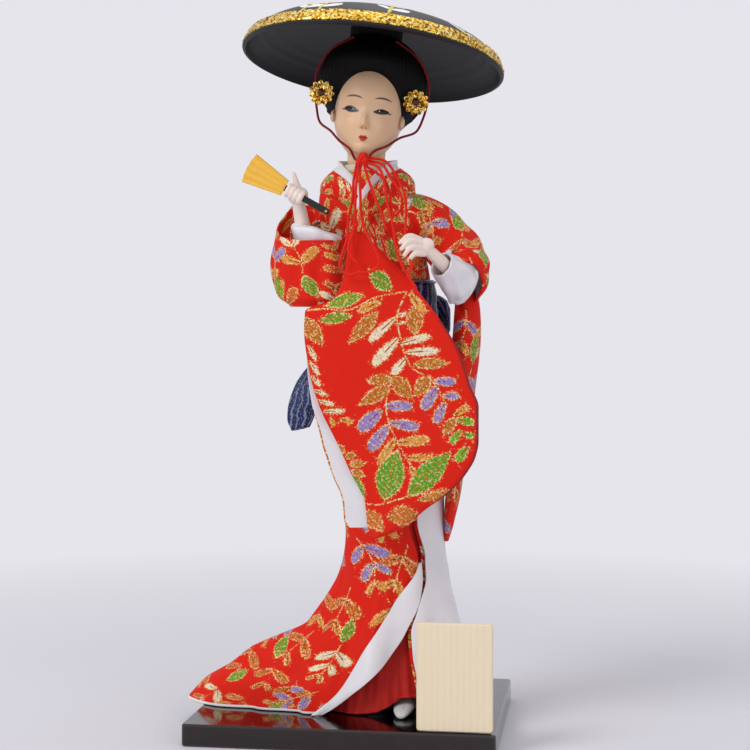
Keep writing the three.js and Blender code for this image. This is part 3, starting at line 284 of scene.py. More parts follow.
def make_active(obj: bpy.types.Object) -> None:
    """Select one object alone and make it active.

    Args:
        obj: the object.
    """
    bare_selection()
    obj.select_set(True)
    bpy.context.view_layer.objects.active = obj


def new_object(name: str, points: Points, faces: Points) -> bpy.types.Object:
    """Make a smooth-shaded object.

    Args:
        name: the object's name.
        points: places in metres.
        faces: rows of vertex numbers.

    Returns:
        The object, linked to the scene.
    """
    mesh = bpy.data.meshes.new(name)
    mesh.from_pydata(points.tolist(), [], faces.tolist())
    mesh.polygons.foreach_set("use_smooth", np.ones(len(mesh.polygons), bool))
    obj = bpy.data.objects.new(name, mesh)
    bpy.context.collection.objects.link(obj)
    return obj


@dataclass
class Skin:
    """A sheet or closed skin over a grid of places in millimetres above the board.

    Attributes:
        name: name of the piece.
        grid: rows by columns by three.
        wrap: whether the last column meets the first.
        capped: whether the first and last rows are closed to a point.
        away: a place that an open sheet's front faces away from.
        cloth: flat place on the cloth of each grid point, in millimetres; one column more if wrapped.
    """

    name: str
    grid: Points
    wrap: bool = False
    capped: bool = False
    away: Sequence[float] | None = None
    cloth: Points | None = None

    def faces(self) -> tuple[Points, Points]:
        """Corners of each quad as rows and as columns of the grid.

        Returns:
            Two arrays with four corners for each quad.
        """
        rows, columns = self.grid.shape[:2]
        last = columns if self.wrap else columns - 1
        r, c = [a.ravel() for a in np.meshgrid(np.arange(rows - 1), np.arange(last), indexing="ij")]
        return np.column_stack([r, r, r + 1, r + 1]), np.column_stack([c, c + 1, c + 1, c])

    def flat(self) -> Points:
        """Flat place of each grid point, from the lengths along its rows and columns.

        Returns:
            Array of places in mm.
        """
        grid = np.concatenate([self.grid, self.grid[:, :1]], 1) if self.wrap else self.grid
        across = np.linalg.norm(np.diff(grid, axis=1), axis=2)
        u = np.concatenate([np.zeros((len(grid), 1)), np.cumsum(across, 1)], 1)
        u -= u[:, u.shape[1] // 2][:, None]
        up = np.linalg.norm(np.diff(grid, axis=0), axis=2).mean(1)
        v = np.concatenate([[0], np.cumsum(up)])
        return np.dstack([u, np.broadcast_to(v[:, None], u.shape)])

    def build(self, pattern: "Pattern | None" = None) -> bpy.types.Object:
        """Make the object, with its cloth map and its woven motifs.

        Args:
            pattern: motifs of the cloth, in its flat millimetres.

        Returns:
            The object.
        """
        columns = self.grid.shape[1]
        cloth = self.flat() if self.cloth is None else self.cloth
        face_rows, face_columns = self.faces()
        corners = face_rows * columns + face_columns % columns
        points = place(self.grid.reshape(-1, 3))
        a, b, c = [points[corners[:, k]] for k in (0, 1, 2)]
        facing = np.cross(b - a, c - a)
        origin = points.mean(0) if self.away is None else place(np.array(self.away))
        if (facing * (a - origin)).sum() < 0:
            corners, face_rows, face_columns = corners[:, ::-1], face_rows[:, ::-1], face_columns[:, ::-1]
        obj = new_object(self.name, points, corners)
        flat = cloth[face_rows, face_columns]
        layer = obj.data.uv_layers.new(name="cloth")
        layer.data.foreach_set("uv", (flat / MAP_MM).astype(np.float32).ravel())
        if pattern:
            pattern.weave(obj, flat)
        if self.capped:
            close_ends(obj)
        return obj


def close_ends(obj: bpy.types.Object) -> None:
    """Fill the open rings of a mesh with a fan of faces each.

    Args:
        obj: the mesh to close.
    """
    shape = bmesh.new()
    shape.from_mesh(obj.data)
    edges = [e for e in shape.edges if e.is_boundary]
    filled = bmesh.ops.holes_fill(shape, edges=edges, sides=0)["faces"]
    bmesh.ops.poke(shape, faces=filled)
    bmesh.ops.recalc_face_normals(shape, faces=shape.faces)
    for one in shape.faces:
        one.smooth = True
    shape.to_mesh(obj.data)
    shape.free()


def outwards(obj: bpy.types.Object) -> None:
    """Merge doubles and turn the faces of a closed piece out.

    Args:
        obj: the piece.
    """
    shape = bmesh.new()
    shape.from_mesh(obj.data)
    bmesh.ops.remove_doubles(shape, verts=shape.verts, dist=SAME_PLACE)
    bmesh.ops.recalc_face_normals(shape, faces=shape.faces)
    shape.to_mesh(obj.data)
    shape.free()


def modify(obj: bpy.types.Object, kind: str, **settings: object) -> bpy.types.Object:
    """Put a modifier on a piece and apply it.

    Args:
        obj: the piece.
        kind: type of the modifier.
        settings: its settings by name.

    Returns:
        The same piece.
    """
    modifier = obj.modifiers.new(kind.lower(), kind)
    for key, value in settings.items():
        setattr(modifier, key, value)
    make_active(obj)
    bpy.ops.object.modifier_apply(modifier=modifier.name)
    return obj


def thicken(obj: bpy.types.Object, wall: float, lining: bool = False, offset: float = -1) -> bpy.types.Object:
    """Give an open sheet its thickness.

    Args:
        obj: the sheet.
        wall: thickness in millimetres.
        lining: whether the inside takes the next material.
        offset: -1 for a wall inwards, 0 for one to both sides.

    Returns:
        The same object.
    """
    return modify(obj, "SOLIDIFY", thickness=wall * MM, offset=offset, use_even_offset=False,
                  material_offset=int(lining), material_offset_rim=0)


def primitive(operator: Callable, **settings: object) -> bpy.types.Object:
    """Add a smooth-shaded primitive with its place in its mesh.

    Args:
        operator: what adds it, such as bpy.ops.mesh.primitive_torus_add.
        settings: what the operator takes.

    Returns:
        The object, at the origin.
    """
    bare_selection()
    operator(**settings)
    bpy.ops.object.shade_smooth()
    obj = bpy.context.object
    make_active(obj)
    bpy.ops.object.transform_apply(location=True, rotation=True, scale=True)
    return obj


def join(name: str, pieces: Sequence[bpy.types.Object]) -> bpy.types.Object:
    """Join pieces to one object.

    Args:
        name: name of the result.
        pieces: the objects, of which the first is kept.

    Returns:
        The joined object.
    """
    make_active(pieces[0])
    for piece in pieces:
        piece.select_set(True)
    bpy.ops.object.join()
    pieces[0].name = name
    return pieces[0]


def spun(name: str, profile: Points, steps: int) -> bpy.types.Object:
    """Spin a closed profile round the Z axis.

    Args:
        name: name of the piece.
        profile: places as radius and height in millimetres; the first and last may touch the axis.
        steps: faces round the axis.

    Returns:
        The object, in metres about the origin.
    """
    mesh = bpy.data.meshes.new(name)
    points = [(r * MM, 0.0, z * MM) for r, z in profile]
    mesh.from_pydata(points, [(i, i + 1) for i in range(len(points) - 1)], [])
    obj = bpy.data.objects.new(name, mesh)
    bpy.context.collection.objects.link(obj)
    make_active(obj)
    bpy.ops.object.mode_set(mode="EDIT")
    bpy.ops.mesh.select_all(action="SELECT")
    bpy.ops.mesh.spin(steps=steps, angle=2 * math.pi, center=(0, 0, 0), axis=(0, 0, 1))
    bpy.ops.mesh.select_all(action="SELECT")
    bpy.ops.mesh.remove_doubles(threshold=SAME_PLACE)
    bpy.ops.mesh.normals_make_consistent(inside=False)
    bpy.ops.object.mode_set(mode="OBJECT")
    bpy.ops.object.shade_smooth_by_angle(angle=math.radians(40))
    return obj


def ride(obj: bpy.types.Object, body: Body | None, nodes: Sequence[str] = ()) -> bpy.types.Object:
    """Give a piece its body and the CAD nodes that it stands for.

    Args:
        obj: the piece.
        body: what it moves with, or None where it bends between two bodies.
        nodes: CAD nodes that it replaces.

    Returns:
        The same piece.
    """
    if body:
        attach(obj, body.value)
    if nodes:
        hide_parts(*nodes)
    LOG.info("%s: %d faces on %s", obj.name, len(obj.data.polygons), body.value if body else "two bodies")
    return obj


def dress(obj: bpy.types.Object, *finishes: "Finish") -> None:
    """Put finishes on an object's slots, in their order.

    Args:
        obj: a piece or a CAD node's object.
        finishes: one finish for each slot.
    """
    obj.data.materials.clear()
    for finish in finishes:
        obj.data.materials.append(finish.material())


def tailor(obj: bpy.types.Object, slot: str, node: str, *finishes: "Finish", wall: float = 0.0,
           lined: bool = False, second: Sequence[bool] | None = None) -> bpy.types.Object:
    """Finish a cloth that rides on the figure.

    Args:
        obj: the cloth.
        slot: material slot of the record, which is not used.
        node: CAD node that it replaces.
        finishes: one finish for each slot of the mesh.
        wall: its thickness in mm, or 0 for a closed skin.
        lined: whether its inside takes the next finish.
        second: faces that take the second finish.

    Returns:
        The same piece.
    """
    dress(obj, *finishes)
    if second is not None:
        obj.data.polygons.foreach_set("material_index", np.array(second, np.int32))
    if wall:
        thicken(obj, wall, lined)
    return ride(obj, Body.FIGURE, (node,))


# ---------------------------------------------------------------- motifs
@dataclass(frozen=True)
class Motif:
    """A petal or leaf on a cloth, in the cloth's flat millimetres."""

    x0: float
    y0: float
    x1: float
    y1: float
    width: float
    tone: Tone
    form: Form = Form.PETAL


@dataclass(frozen=True)
class Pattern:
    """Motifs and stems of a cloth, in the cloth's flat millimetres."""

    motifs: tuple[Motif, ...]
    stems: tuple[tuple[Pair, ...], ...] = ()

    @staticmethod
    def depth(points: Points, motif: Points) -> tuple[Points, Points, Points]:
        """How deep each place lies inside its motif.

        Args:
            points: places, ending in x and y.
            motif: the motifs' values (x0, y0, x1, y1, width, form), which broadcast with the places.

        Returns:
            Depth inside the outline in mm, place along from -1 to 1, and place across in mm.
        """
        start, end, half, form = motif[..., 0:2], motif[..., 2:4], motif[..., 4] / 2, motif[..., 5]
        span = end - start
        length = np.linalg.norm(span, axis=-1) / 2
        aim = span / (2 * length[..., None])
        away = points - (start + end) / 2
        u = (away * aim).sum(-1) / length
        across = away[..., 1] * aim[..., 0] - away[..., 0] * aim[..., 1]
        clipped = np.clip(u, -PETAL_TIP, PETAL_TIP)
        round_ = np.sqrt(1 - clipped ** 2)
        petal = round_ * (0.8 + 0.2 * clipped)
        petal_slope = -clipped / round_ * (0.8 + 0.2 * clipped) + 0.2 * round_
        leaf = (1 - clipped ** 2) * (1 - 0.2 * clipped)
        leaf_slope = -2 * clipped * (1 - 0.2 * clipped) - 0.2 * (1 - clipped ** 2)
        width = np.where(form > 0.5, leaf, petal)
        slope = np.where(form > 0.5, leaf_slope, petal_slope)
        depth = (width - np.abs(across) / half) / np.sqrt(1 / half ** 2 + (slope / length) ** 2)
        over = np.abs(u) - PETAL_TIP
        depth = np.where(over > 0, np.minimum(depth, -over * length), depth)
        return depth, u, across

    def field(self, flat: Points) -> tuple[Points, Points, Points]:
        """Motif place, thread colour and stem distance of every face corner.

        Args:
            flat: flat place of each face's four corners, n by 4 by 2.

        Returns:
            Depth, along and across; colour with the motif's form; distance to a stem in mm.
        """
        middle = flat.mean(1)
        order = np.argsort(middle[:, 0])
        sorted_x = middle[order, 0]

        def near(x: Sequence[float], y: Sequence[float], margin: float) -> Points:
            """Faces whose middles lie in a box with a margin.

            Args:
                x: places that the box spans along x.
                y: places that it spans along y.
                margin: how far it reaches past them.

            Returns:
                Numbers of the faces.
            """
            first, last = np.searchsorted(sorted_x, (min(x) - margin, max(x) + margin))
            part = order[first:last]
            return part[(middle[part, 1] > min(y) - margin) & (middle[part, 1] < max(y) + margin)]

        rows = np.array([(m.x0, m.y0, m.x1, m.y1, m.width, m.form.value) for m in self.motifs])
        best = np.full(len(flat), OUTSIDE)
        chosen = np.zeros(len(flat), int)
        for k, row in enumerate(rows):
            part = near(row[[0, 2]], row[[1, 3]], row[4] / 2 + 1.2)
            depth = self.depth(middle[part], row)[0]
            better = part[depth > best[part]]
            best[better], chosen[better] = depth[depth > best[part]], k
        places = np.dstack(self.depth(flat, rows[chosen][:, None]))
        places[best <= OUTSIDE] = (OUTSIDE, 0.0, 0.0)
        tones = np.array([linear(m.tone.value, m.form.value) for m in self.motifs])[chosen]
        stem = np.full(flat.shape[:2], NO_STEM)
        for line in self.stems:
            path = spline([(x, y, 0) for x, y in line], 3)[:, :2]
            for a, b in zip(path[:-1], path[1:]):
                part = near((a[0], b[0]), (a[1], b[1]), 1.5)
                t = np.clip(((flat[part] - a) @ (b - a)) / max(((b - a) ** 2).sum(), 1e-9), 0, 1)
                apart = np.linalg.norm(flat[part] - a - t[..., None] * (b - a), axis=-1)
                stem[part] = np.minimum(stem[part], apart)
        return places, np.repeat(tones[:, None], 4, 1), stem[..., None]

    def weave(self, obj: bpy.types.Object, flat: Points, corners: Points | None = None) -> None:
        """Write the motifs to an object's face corners.

        Args:
            obj: the cloth, whose faces are still in order.
            flat: flat place of each face's four corners, n by 4 by 2.
            corners: which of those corners the mesh has, where some faces are triangles.
        """
        kinds = (("motif", "FLOAT_VECTOR", "vector"), ("tone", "FLOAT_COLOR", "color"),
                 ("stem", "FLOAT", "value"))
        for (name, kind, key), values in zip(kinds, self.field(flat)):
            values = values.astype(np.float32).reshape(len(flat) * 4, -1)
            layer = obj.data.attributes.new(name, kind, "CORNER")
            layer.data.foreach_set(key, (values if corners is None else values[corners]).ravel())


@dataclass(frozen=True)
class Spray:
    """A wisteria raceme: petals in pairs along a bent stem, in bands of colour, with leaves at its root.

    Attributes:
        root: where it starts.
        aim: bearing of its stem in degrees, 0 along +x.
        length: length of its stem in mm.
        bend: how far the stem bows sideways, as a share of its length.
        tones: colours of the petals from the root to the tip.
        size: length of its largest petal in mm.
        leaves: how many leaves grow at its root.
    """

    root: Pair
    aim: float
    length: float
    bend: float = 0.12
    tones: tuple[Tone, ...] = (Tone.CREAM, Tone.COPPER, Tone.PURPLE, Tone.GOLD)
    size: float = 11.0
    leaves: int = 3

    def stem(self) -> tuple[Pair, ...]:
        """Places along the stem.

        Returns:
            Places from the root to the tip.
        """
        aim = math.radians(self.aim)
        out = []
        for k in range(7):
            t = k / 6
            side = self.bend * self.length * math.sin(math.pi * t)
            out.append((self.root[0] + self.length * t * math.cos(aim) - side * math.sin(aim),
                        self.root[1] + self.length * t * math.sin(aim) + side * math.cos(aim)))
        return tuple(out)

    def motifs(self) -> list[Motif]:
        """Petals and leaves of the spray.

        Returns:
            The petals from the root on, then the leaves.
        """
        stem = np.array(self.stem())
        run = np.linspace(0, 1, len(stem))
        pitch = self.size * 0.56
        count = max(2, int(self.length / pitch))
        out = []
        for k in range(2 * count):
            t = (k // 2 + 0.55) / count
            x, y = [float(np.interp(t, run, stem[:, i])) for i in (0, 1)]
            side = 1 if k % 2 else -1
            aim = math.radians(self.aim + side * (64 - 26 * t))
            reach = self.size * (1 - 0.5 * t) * (0.94 if k % 3 else 1.06)
            tone = self.tones[min(int(t * len(self.tones)), len(self.tones) - 1)]
            out.append(Motif(x, y, x + reach * math.cos(aim), y + reach * math.sin(aim), reach * 0.5, tone))
        for k in range(self.leaves):
            aim = math.radians(self.aim + 180 + (k - (self.leaves - 1) / 2) * 52)
            reach = self.size * (1.0 if k % 2 else 1.2)
            x, y = self.root
            out.append(Motif(x + 1.5 * math.cos(aim), y + 1.5 * math.sin(aim), x + reach * math.cos(aim),
                             y + reach * math.sin(aim), reach * 0.42, Tone.LEAF, Form.LEAF))
        return out


def pattern_of(sprays: Sequence[Spray]) -> Pattern:
    """One pattern of several sprays."""
    return Pattern(tuple(m for s in sprays for m in s.motifs()), tuple(s.stem() for s in sprays))


# ---------------------------------------------------------------- finishes
class Graph:
    """Node tree of one material."""

    def __init__(self, name: str) -> None:
        """Start an empty material of this name.

        Args:
            name: name of the material.
        """
        self.material = bpy.data.materials.new(name)
        self.material.use_nodes = True
        self.material.node_tree.nodes.clear()

    def add(self, kind: str, inputs: dict | Sequence | None = None, **settings: object) -> bpy.types.Node:
        """Add a node with its settings and links.

        Args:
            kind: node type without its ShaderNode prefix.
            inputs: values, sockets or nodes by input name, or in the inputs' order with None to skip.
            settings: the node's own settings; stops sets a colour ramp's (place, hex) pairs.

        Returns:
            The node.
        """
        tree = self.material.node_tree
        node = tree.nodes.new("ShaderNode" + kind)
        stops = settings.pop("stops", None)
        for key, value in settings.items():
            setattr(node, key, value)
        for k, (at, code) in enumerate(stops or ()):
            element = node.color_ramp.elements[k] if k < 2 else node.color_ramp.elements.new(at)
            element.position, element.color = at, linear(code)
        named = inputs.items() if isinstance(inputs, dict) else enumerate(inputs or ())
        for key, value in named:
            if isinstance(value, bpy.types.Node):
                value = next(o for o in value.outputs if o.enabled)
            if isinstance(value, bpy.types.NodeSocket):
                tree.links.new(value, node.inputs[key])
            elif value is not None:
                node.inputs[key].default_value = value
        return node

    def close(self, shader: bpy.types.Node) -> bpy.types.Material:
        """Link a shader to the output.

        Args:
            shader: the surface.

        Returns:
            The material.
        """
        self.add("OutputMaterial", {"Surface": shader})
        return self.material

    def math(self, operation: str, *values: object) -> bpy.types.Node:
        """One calculation, such as MULTIPLY."""
        return self.add("Math", values, operation=operation)

    def times(self, a: object, b: object) -> bpy.types.Node:
        """Product."""
        return self.math("MULTIPLY", a, b)

    def plus(self, a: object, b: object) -> bpy.types.Node:
        """Sum."""
        return self.math("ADD", a, b)

    def minus(self, a: object, b: object) -> bpy.types.Node:
        """Difference."""
        return self.math("SUBTRACT", a, b)

    def most(self, a: object, b: object) -> bpy.types.Node:
        """The larger of two."""
        return self.math("MAXIMUM", a, b)

    def size(self, a: object) -> bpy.types.Node:
        """Value without its sign."""
        return self.math("ABSOLUTE", a)

    def span(self, value: object, low: float = 0.0, high: float = 1.0, start: float = 0.0,
             end: float = 1.0) -> bpy.types.Node:
        """Map low..high to start..end, held at both ends."""
        return self.add("MapRange", [value, low, high, start, end])

    def mix(self, share: object, first: object, second: object, **settings: str) -> bpy.types.Node:
        """Mix two colours, each a socket, a node or sRGB hex."""
        pair = [linear(c) if isinstance(c, str) else c for c in (first, second)]
        return self.add("Mix", {0: share, 6: pair[0], 7: pair[1]}, data_type="RGBA", **settings)

    def noise(self, place_: object, scale: float, detail: float = 2.0) -> bpy.types.Node:
        """Soft noise."""
        return self.add("TexNoise", {"Vector": place_, "Scale": scale, "Detail": detail})

    def stretch(self, place_: object, scale: Sequence[float]) -> bpy.types.Node:
        """The place with each axis scaled."""
        return self.add("Mapping", {"Vector": place_, "Scale": scale})

    def bump(self, strength: float, height_m: float, relief: object) -> bpy.types.Node:
        """Relief of a height in metres."""
        return self.add("Bump", {"Strength": strength, "Distance": height_m, "Height": relief})

    def ramp(self, value: object, *stops: tuple[float, str]) -> bpy.types.Node:
        """Colour ramp through (place, hex) stops."""
        return self.add("ValToRGB", [value], stops=stops)

    def surface(self, colour: object, rough: object, bump: object = None,
                more: dict | None = None) -> bpy.types.Material:
        """Close the graph with a principled surface.

        Args:
            colour: its base colour.
            rough: its roughness.
            bump: its relief, if any.
            more: further inputs by name.

        Returns:
            The material.
        """
        named = {"Base Color": colour, "Roughness": rough, "Normal": bump, **(more or {})}
        return self.close(self.add("BsdfPrincipled", named))


@dataclass(frozen=True)
class Finish:
    """A finish of the doll, made once and shared by its pieces."""

    name: str

    def material(self) -> bpy.types.Material:
        """The finish's material, made at its first use."""
        return bpy.data.materials.get(self.name) or self.make()

    def make(self) -> bpy.types.Material:
        """Build the material; each kind of finish has its own way."""
        raise NotImplementedError


@dataclass(frozen=True)
class Brocade(Finish):
    """Polyester brocade: a fine twill with motifs in satin stitch, each outlined in couched gold thread.

    To the eye: matte coloured ground, brighter raised petals, and gold that glints in dots, its palest beads
    painted as glints.
    """

    ground: str = "#ff3a1c"
    ground_dark: str = "#dc160a"
    outline: float = 0.4
    thread: str = "#f0ae48"
    thread_dark: str = "#a84a14"
    pitch: float = 0.62

    def make(self) -> bpy.types.Material:
        """Build the weave, the stitched motifs and the gold thread.

        Returns:
            The material.
        """
        g = Graph(self.name)
        cloth = g.add("UVMap", uv_map="cloth")
        motif = g.add("SeparateXYZ", [g.add("Attribute", attribute_name="motif").outputs["Vector"]])
        true_depth, along, across = motif.outputs
        # each stitch ends a little in or out, so an outline is ragged by about 0.25 mm
        ends = g.noise(cloth, 210.0, 1.0)
        depth = g.plus(true_depth, g.span(ends, 0.3, 0.7, -0.28, 0.28))
        tone = g.add("Attribute", attribute_name="tone")
        stem = g.add("Attribute", attribute_name="stem").outputs["Fac"]
        # a twill line each pitch, which is drawn coarser than threads of 0.25 mm are
        twill = g.add("TexWave", {"Vector": g.add("Mapping", {"Vector": cloth, "Rotation": (0, 0, 0.96)}),
                                  "Scale": waves(self.pitch, turns=3.2), "Distortion": 0.25, "Detail": 1.0})
        fibre = g.noise(g.stretch(cloth, (900, 220, 1)), 1.0, 2.0)
        weave = g.times(twill.outputs["Fac"], fibre)
        ground = g.mix(weave, self.ground_dark, self.ground)
        # satin stitch inside a motif: flecks of thread about 0.3 mm wide
        stitch = g.noise(g.stretch(cloth, (330, 330, 1)), 1.0, 1.5)
        speck = g.span(stitch, 0.32, 0.66, 0.72, 1.16)
        fill = g.mix(1.0, tone.outputs["Color"], speck, blend_type="MULTIPLY")
        # veins: a slit from the root of each petal, and a midrib with side veins on each leaf
        slit = g.span(g.size(across), 0.16, 0.3, 1.0, 0.0)
        root = g.span(along, 0.0, 0.14, 1.0, 0.0)
        petal_vein = g.times(slit, root)
        slant = g.times(g.size(across), 0.42)
        rows = g.minus(g.times(along, 3.1), slant)
        comb = g.math("LESS_THAN", g.math("FRACT", rows), 0.2)
        leaf_vein = g.most(g.times(comb, 0.75), slit)
        vein = g.add("Mix", {0: tone.outputs["Alpha"], 2: petal_vein, 3: leaf_vein}, data_type="FLOAT")
        vein_colour = g.mix(tone.outputs["Alpha"], "#9a1710", "#a9842c")
        veined = g.mix(vein, fill, vein_colour)
        inside = g.span(depth, 0.0, 0.06)
        body = g.mix(inside, ground, veined)
        # couched gold: a line of beads about 0.55 mm long round each motif and along each stem
        bead = g.add("TexVoronoi", {"Vector": cloth, "Scale": MAP_MM / 0.55, "Randomness": 0.55},
                     feature="F1", voronoi_dimensions="2D")
        ragged = g.minus(g.times(bead.outputs["Distance"], 0.42), 0.14)
        rim = g.size(g.minus(depth, 0.12))
        rim = g.plus(rim, ragged)
        line = g.span(rim, self.outline * 0.62, self.outline * 0.8, 1.0, 0.0)
        stem_line = g.span(g.plus(stem, ragged), 0.3, 0.42, 1.0, 0.0)
        spot = g.span(bead.outputs["Distance"], 0.34, 0.56, 1.0, 0.3)
        gold_mask = g.times(g.most(line, stem_line), spot)
        # loose gilt ends catch the light on the ground within 1 mm of a motif
        luck = g.add("SeparateColor", [bead.outputs["Color"]])
        stray = g.times(g.span(depth, -1.1, -0.3), g.math("GREATER_THAN", luck.outputs["Green"], 0.72))
        gold_mask = g.most(gold_mask, g.times(stray, 0.5))
        # gilt threads woven through the petals, which show as specks in rows 1.8 mm apart
        rows_ = g.add("TexWave", {"Vector": g.add("Mapping", {"Vector": cloth, "Rotation": (0, 0, -0.8)}),
                                  "Scale": waves(0.9), "Distortion": 0.6})
        broken = g.times(rows_.outputs["Fac"], g.span(stitch, 0.44, 0.6))
        fleck = g.times(g.span(broken, 0.5, 0.75), inside)
        gold_mask = g.most(gold_mask, g.times(fleck, 0.8))
        # each bead's colour is picked at random from copper to pale gold: partly a tone that differs, partly
        # painted glints on the palest beads
        gold = g.ramp(luck.outputs["Red"], (0.1, self.thread_dark), (0.45, self.thread), (0.85, "#fff2bc"))
        colour = g.mix(gold_mask, body, gold)
        raised = g.most(gold_mask, g.times(inside, 0.5))
        relief = g.plus(raised, g.times(weave, 0.5))
        bump = g.bump(0.55, 0.00022, relief)
        metal = g.times(gold_mask, 0.55)
        rough = g.span(gold_mask, 0.0, 1.0, 0.66, 0.34)
        return g.surface(colour, rough, bump, {"Metallic": metal, "Specular IOR Level": 0.15})


@dataclass(frozen=True)
class WovenCloth(Finish):
    """Plain woven cloth: fine crossed threads, matte or satin.

    To the eye: an even colour with a faint grid and a soft glow at its edges.
    """

    light: str = "#d42018"
    dark: str = "#b81510"
    pitch: float = 0.5
    roughness: float = 0.6
    sheen: float = 0.2
    relief: float = 0.3

    def make(self) -> bpy.types.Material:
        """Build the crossed threads, with slow wear of the colour.

        Returns:
            The material.
        """
        g = Graph(self.name)
        cloth = g.add("UVMap", uv_map="cloth")
        warp, weft = [g.add("TexWave", {"Vector": cloth, "Scale": waves(self.pitch), "Distortion": 0.4,
                                        "Detail": 1.0}, bands_direction=way) for way in ("X", "Y")]
        weave = g.times(warp.outputs["Fac"], weft.outputs["Fac"])
        slow = g.noise(cloth, 9.0, 3.0)
        blend = g.plus(g.times(weave, 0.5), g.times(slow, 0.75))
        colour = g.mix(blend, self.dark, self.light)
        bump = g.bump(self.relief, 0.00012, weave)
        return g.surface(colour, self.roughness, bump,
                         {"Sheen Weight": self.sheen, "Specular IOR Level": 0.35})


@dataclass(frozen=True)
class SashBrocade(Finish):
    """Navy damask for the sash and its bow: silver-blue waves and gold flecks on a dark ribbed ground."""

    def make(self) -> bpy.types.Material:
        """Build the waves, the flecks and the rib.

        Returns:
            The material.
        """
        g = Graph(self.name)
        cloth = g.add("UVMap", uv_map="cloth")
        bent = g.noise(cloth, 26.0, 1.0)
        shift = g.add("VectorMath", [bent.outputs["Color"], (0.035, 0.035, 0)], operation="MULTIPLY")
        waved = g.add("VectorMath", [cloth, shift], operation="ADD")
        wave = g.add("TexWave", {"Vector": waved, "Scale": 8.0, "Distortion": 6.0, "Detail": 1.0,
                                 "Detail Scale": 1.2})
        line = g.span(wave.outputs["Fac"], 0.8, 0.92)
        fleck = g.add("TexVoronoi", {"Vector": cloth, "Scale": 62.0}, feature="F1", voronoi_dimensions="2D")
        spark = g.span(fleck.outputs["Distance"], 0.06, 0.13, 1.0, 0.0)
        rib = g.add("TexWave", {"Vector": cloth, "Scale": waves(0.5), "Distortion": 0.3})
        ground = g.mix(rib.outputs["Fac"], "#08113a", "#182a6c")
        waved_colour = g.mix(g.times(line, 0.6), ground, "#8fa3c8")
        colour = g.mix(g.times(spark, 0.8), waved_colour, "#d8c37a")
        relief = g.plus(rib.outputs["Fac"], line)
        bump = g.bump(0.35, 0.00015, relief)
        return g.surface(colour, 0.45, bump, {"Specular IOR Level": 0.3, "Metallic": g.times(spark, 0.4)})


@dataclass(frozen=True)
class MouldedVinyl(Finish):
    """Soft moulded vinyl with sprayed and brushed paint on its own map: satin skin that takes light in."""

    def make(self) -> bpy.types.Material:
        """Build the skin, whose colour is the piece's paint attribute.

        Returns:
            The material.
        """
        g = Graph(self.name)
        paint = g.add("Attribute", attribute_name="paint")
        mottle = g.noise(g.add("TexCoord").outputs["Object"], 160.0, 2.0)
        shade = g.span(mottle, 0.0, 1.0, 0.965, 1.02)
        colour = g.mix(1.0, paint.outputs["Color"], shade, blend_type="MULTIPLY")
        gloss = g.span(paint.outputs["Alpha"], 0.0, 1.0, 0.5, 0.16)
        return g.surface(colour, gloss, None,
                         {"Subsurface Weight": 0.22, "Subsurface Radius": (1.0, 0.5, 0.3),
                          "Subsurface Scale": 0.0012, "Specular IOR Level": 0.4})


@dataclass(frozen=True)
class SilkFloss(Finish):
    """Black silk floss, combed and set: long parallel fibres with a dull sheen along them."""

    def make(self) -> bpy.types.Material:
        """Build fibres 0.3 mm apart that follow the piece's comb map.

        Returns:
            The material.
        """
        g = Graph(self.name)
        comb = g.add("UVMap", uv_map="cloth")
        fibre = g.add("TexNoise", {"Vector": g.stretch(comb, (330, 9, 1)),
                                   "Scale": 1.0, "Detail": 3.0, "Roughness": 0.65})
        colour = g.ramp(fibre, (0.35, "#030202"), (0.72, "#120d0d"))
        bump = g.bump(0.5, 0.00018, fibre)
        rough = g.span(fibre, 0.0, 1.0, 0.5, 0.7)
        return g.surface(colour, rough, bump, {"Specular IOR Level": 0.14})


@dataclass(frozen=True)
class PaintedLacquer(Finish):
    """Moulded hat, sprayed satin charcoal, with brushed petals and stems in thick enamel."""

    def make(self) -> bpy.types.Material:
        """Build the spray coat and the brushed motifs.

        Returns:
            The material.
        """
        g = Graph(self.name)
        place_ = g.add("TexCoord").outputs["Object"]
        motif = g.add("SeparateXYZ", [g.add("Attribute", attribute_name="motif").outputs["Vector"]])
        tone = g.add("Attribute", attribute_name="tone")
        stem = g.add("Attribute", attribute_name="stem").outputs["Fac"]
        speckle = g.noise(place_, 1400.0, 2.0)
        coat = g.mix(speckle, "#0c0b0c", "#1c1b1d")
        petal = g.span(motif.outputs["X"], 0.0, 0.14)
        stalk = g.span(stem, 0.6, 0.75, 1.0, 0.0)
        brushed = g.mix(petal, coat, tone.outputs["Color"])
        colour = g.mix(stalk, brushed, "#d8cc3c")
        relief = g.plus(g.most(petal, stalk), g.times(speckle, 0.15))
        bump = g.bump(0.3, 0.0002, relief)
        return g.surface(colour, 0.46, bump, {"Specular IOR Level": 0.35})


@dataclass(frozen=True)
class Gilt(Finish):
    """Gold metal or gold glitter: bright flakes, each turned its own way.

    To the eye: a warm metal that breaks into small bright and dark facets, partly from each facet's turn and
    partly from painted glints and shade in the flakes' colours.
    """

    light: str = "#f6cf3a"
    dark: str = "#8a5a0c"
    flake: float = 0.7
    facet: float = 0.9
    roughness: float = 0.28

    def make(self) -> bpy.types.Material:
        """Build the flakes at their real size in mm.

        Returns:
            The material.
        """
        g = Graph(self.name)
        place_ = g.add("TexCoord").outputs["Object"]
        flakes = g.add("TexVoronoi", {"Vector": place_, "Scale": 1 / MM / self.flake, "Randomness": 1.0})
        pick = g.add("SeparateColor", [flakes.outputs["Color"]])
        # painted glints and shade: each flake's colour is picked at random from dark gold to near white, over
        # the real turn of its facet
        colour = g.ramp(pick.outputs["Red"], (0.1, self.dark), (0.5, self.light), (0.95, "#fff0a0"))
        bump = g.bump(self.facet, 0.00035, pick.outputs["Green"])
        return g.surface(colour, self.roughness, bump, {"Metallic": 0.8})


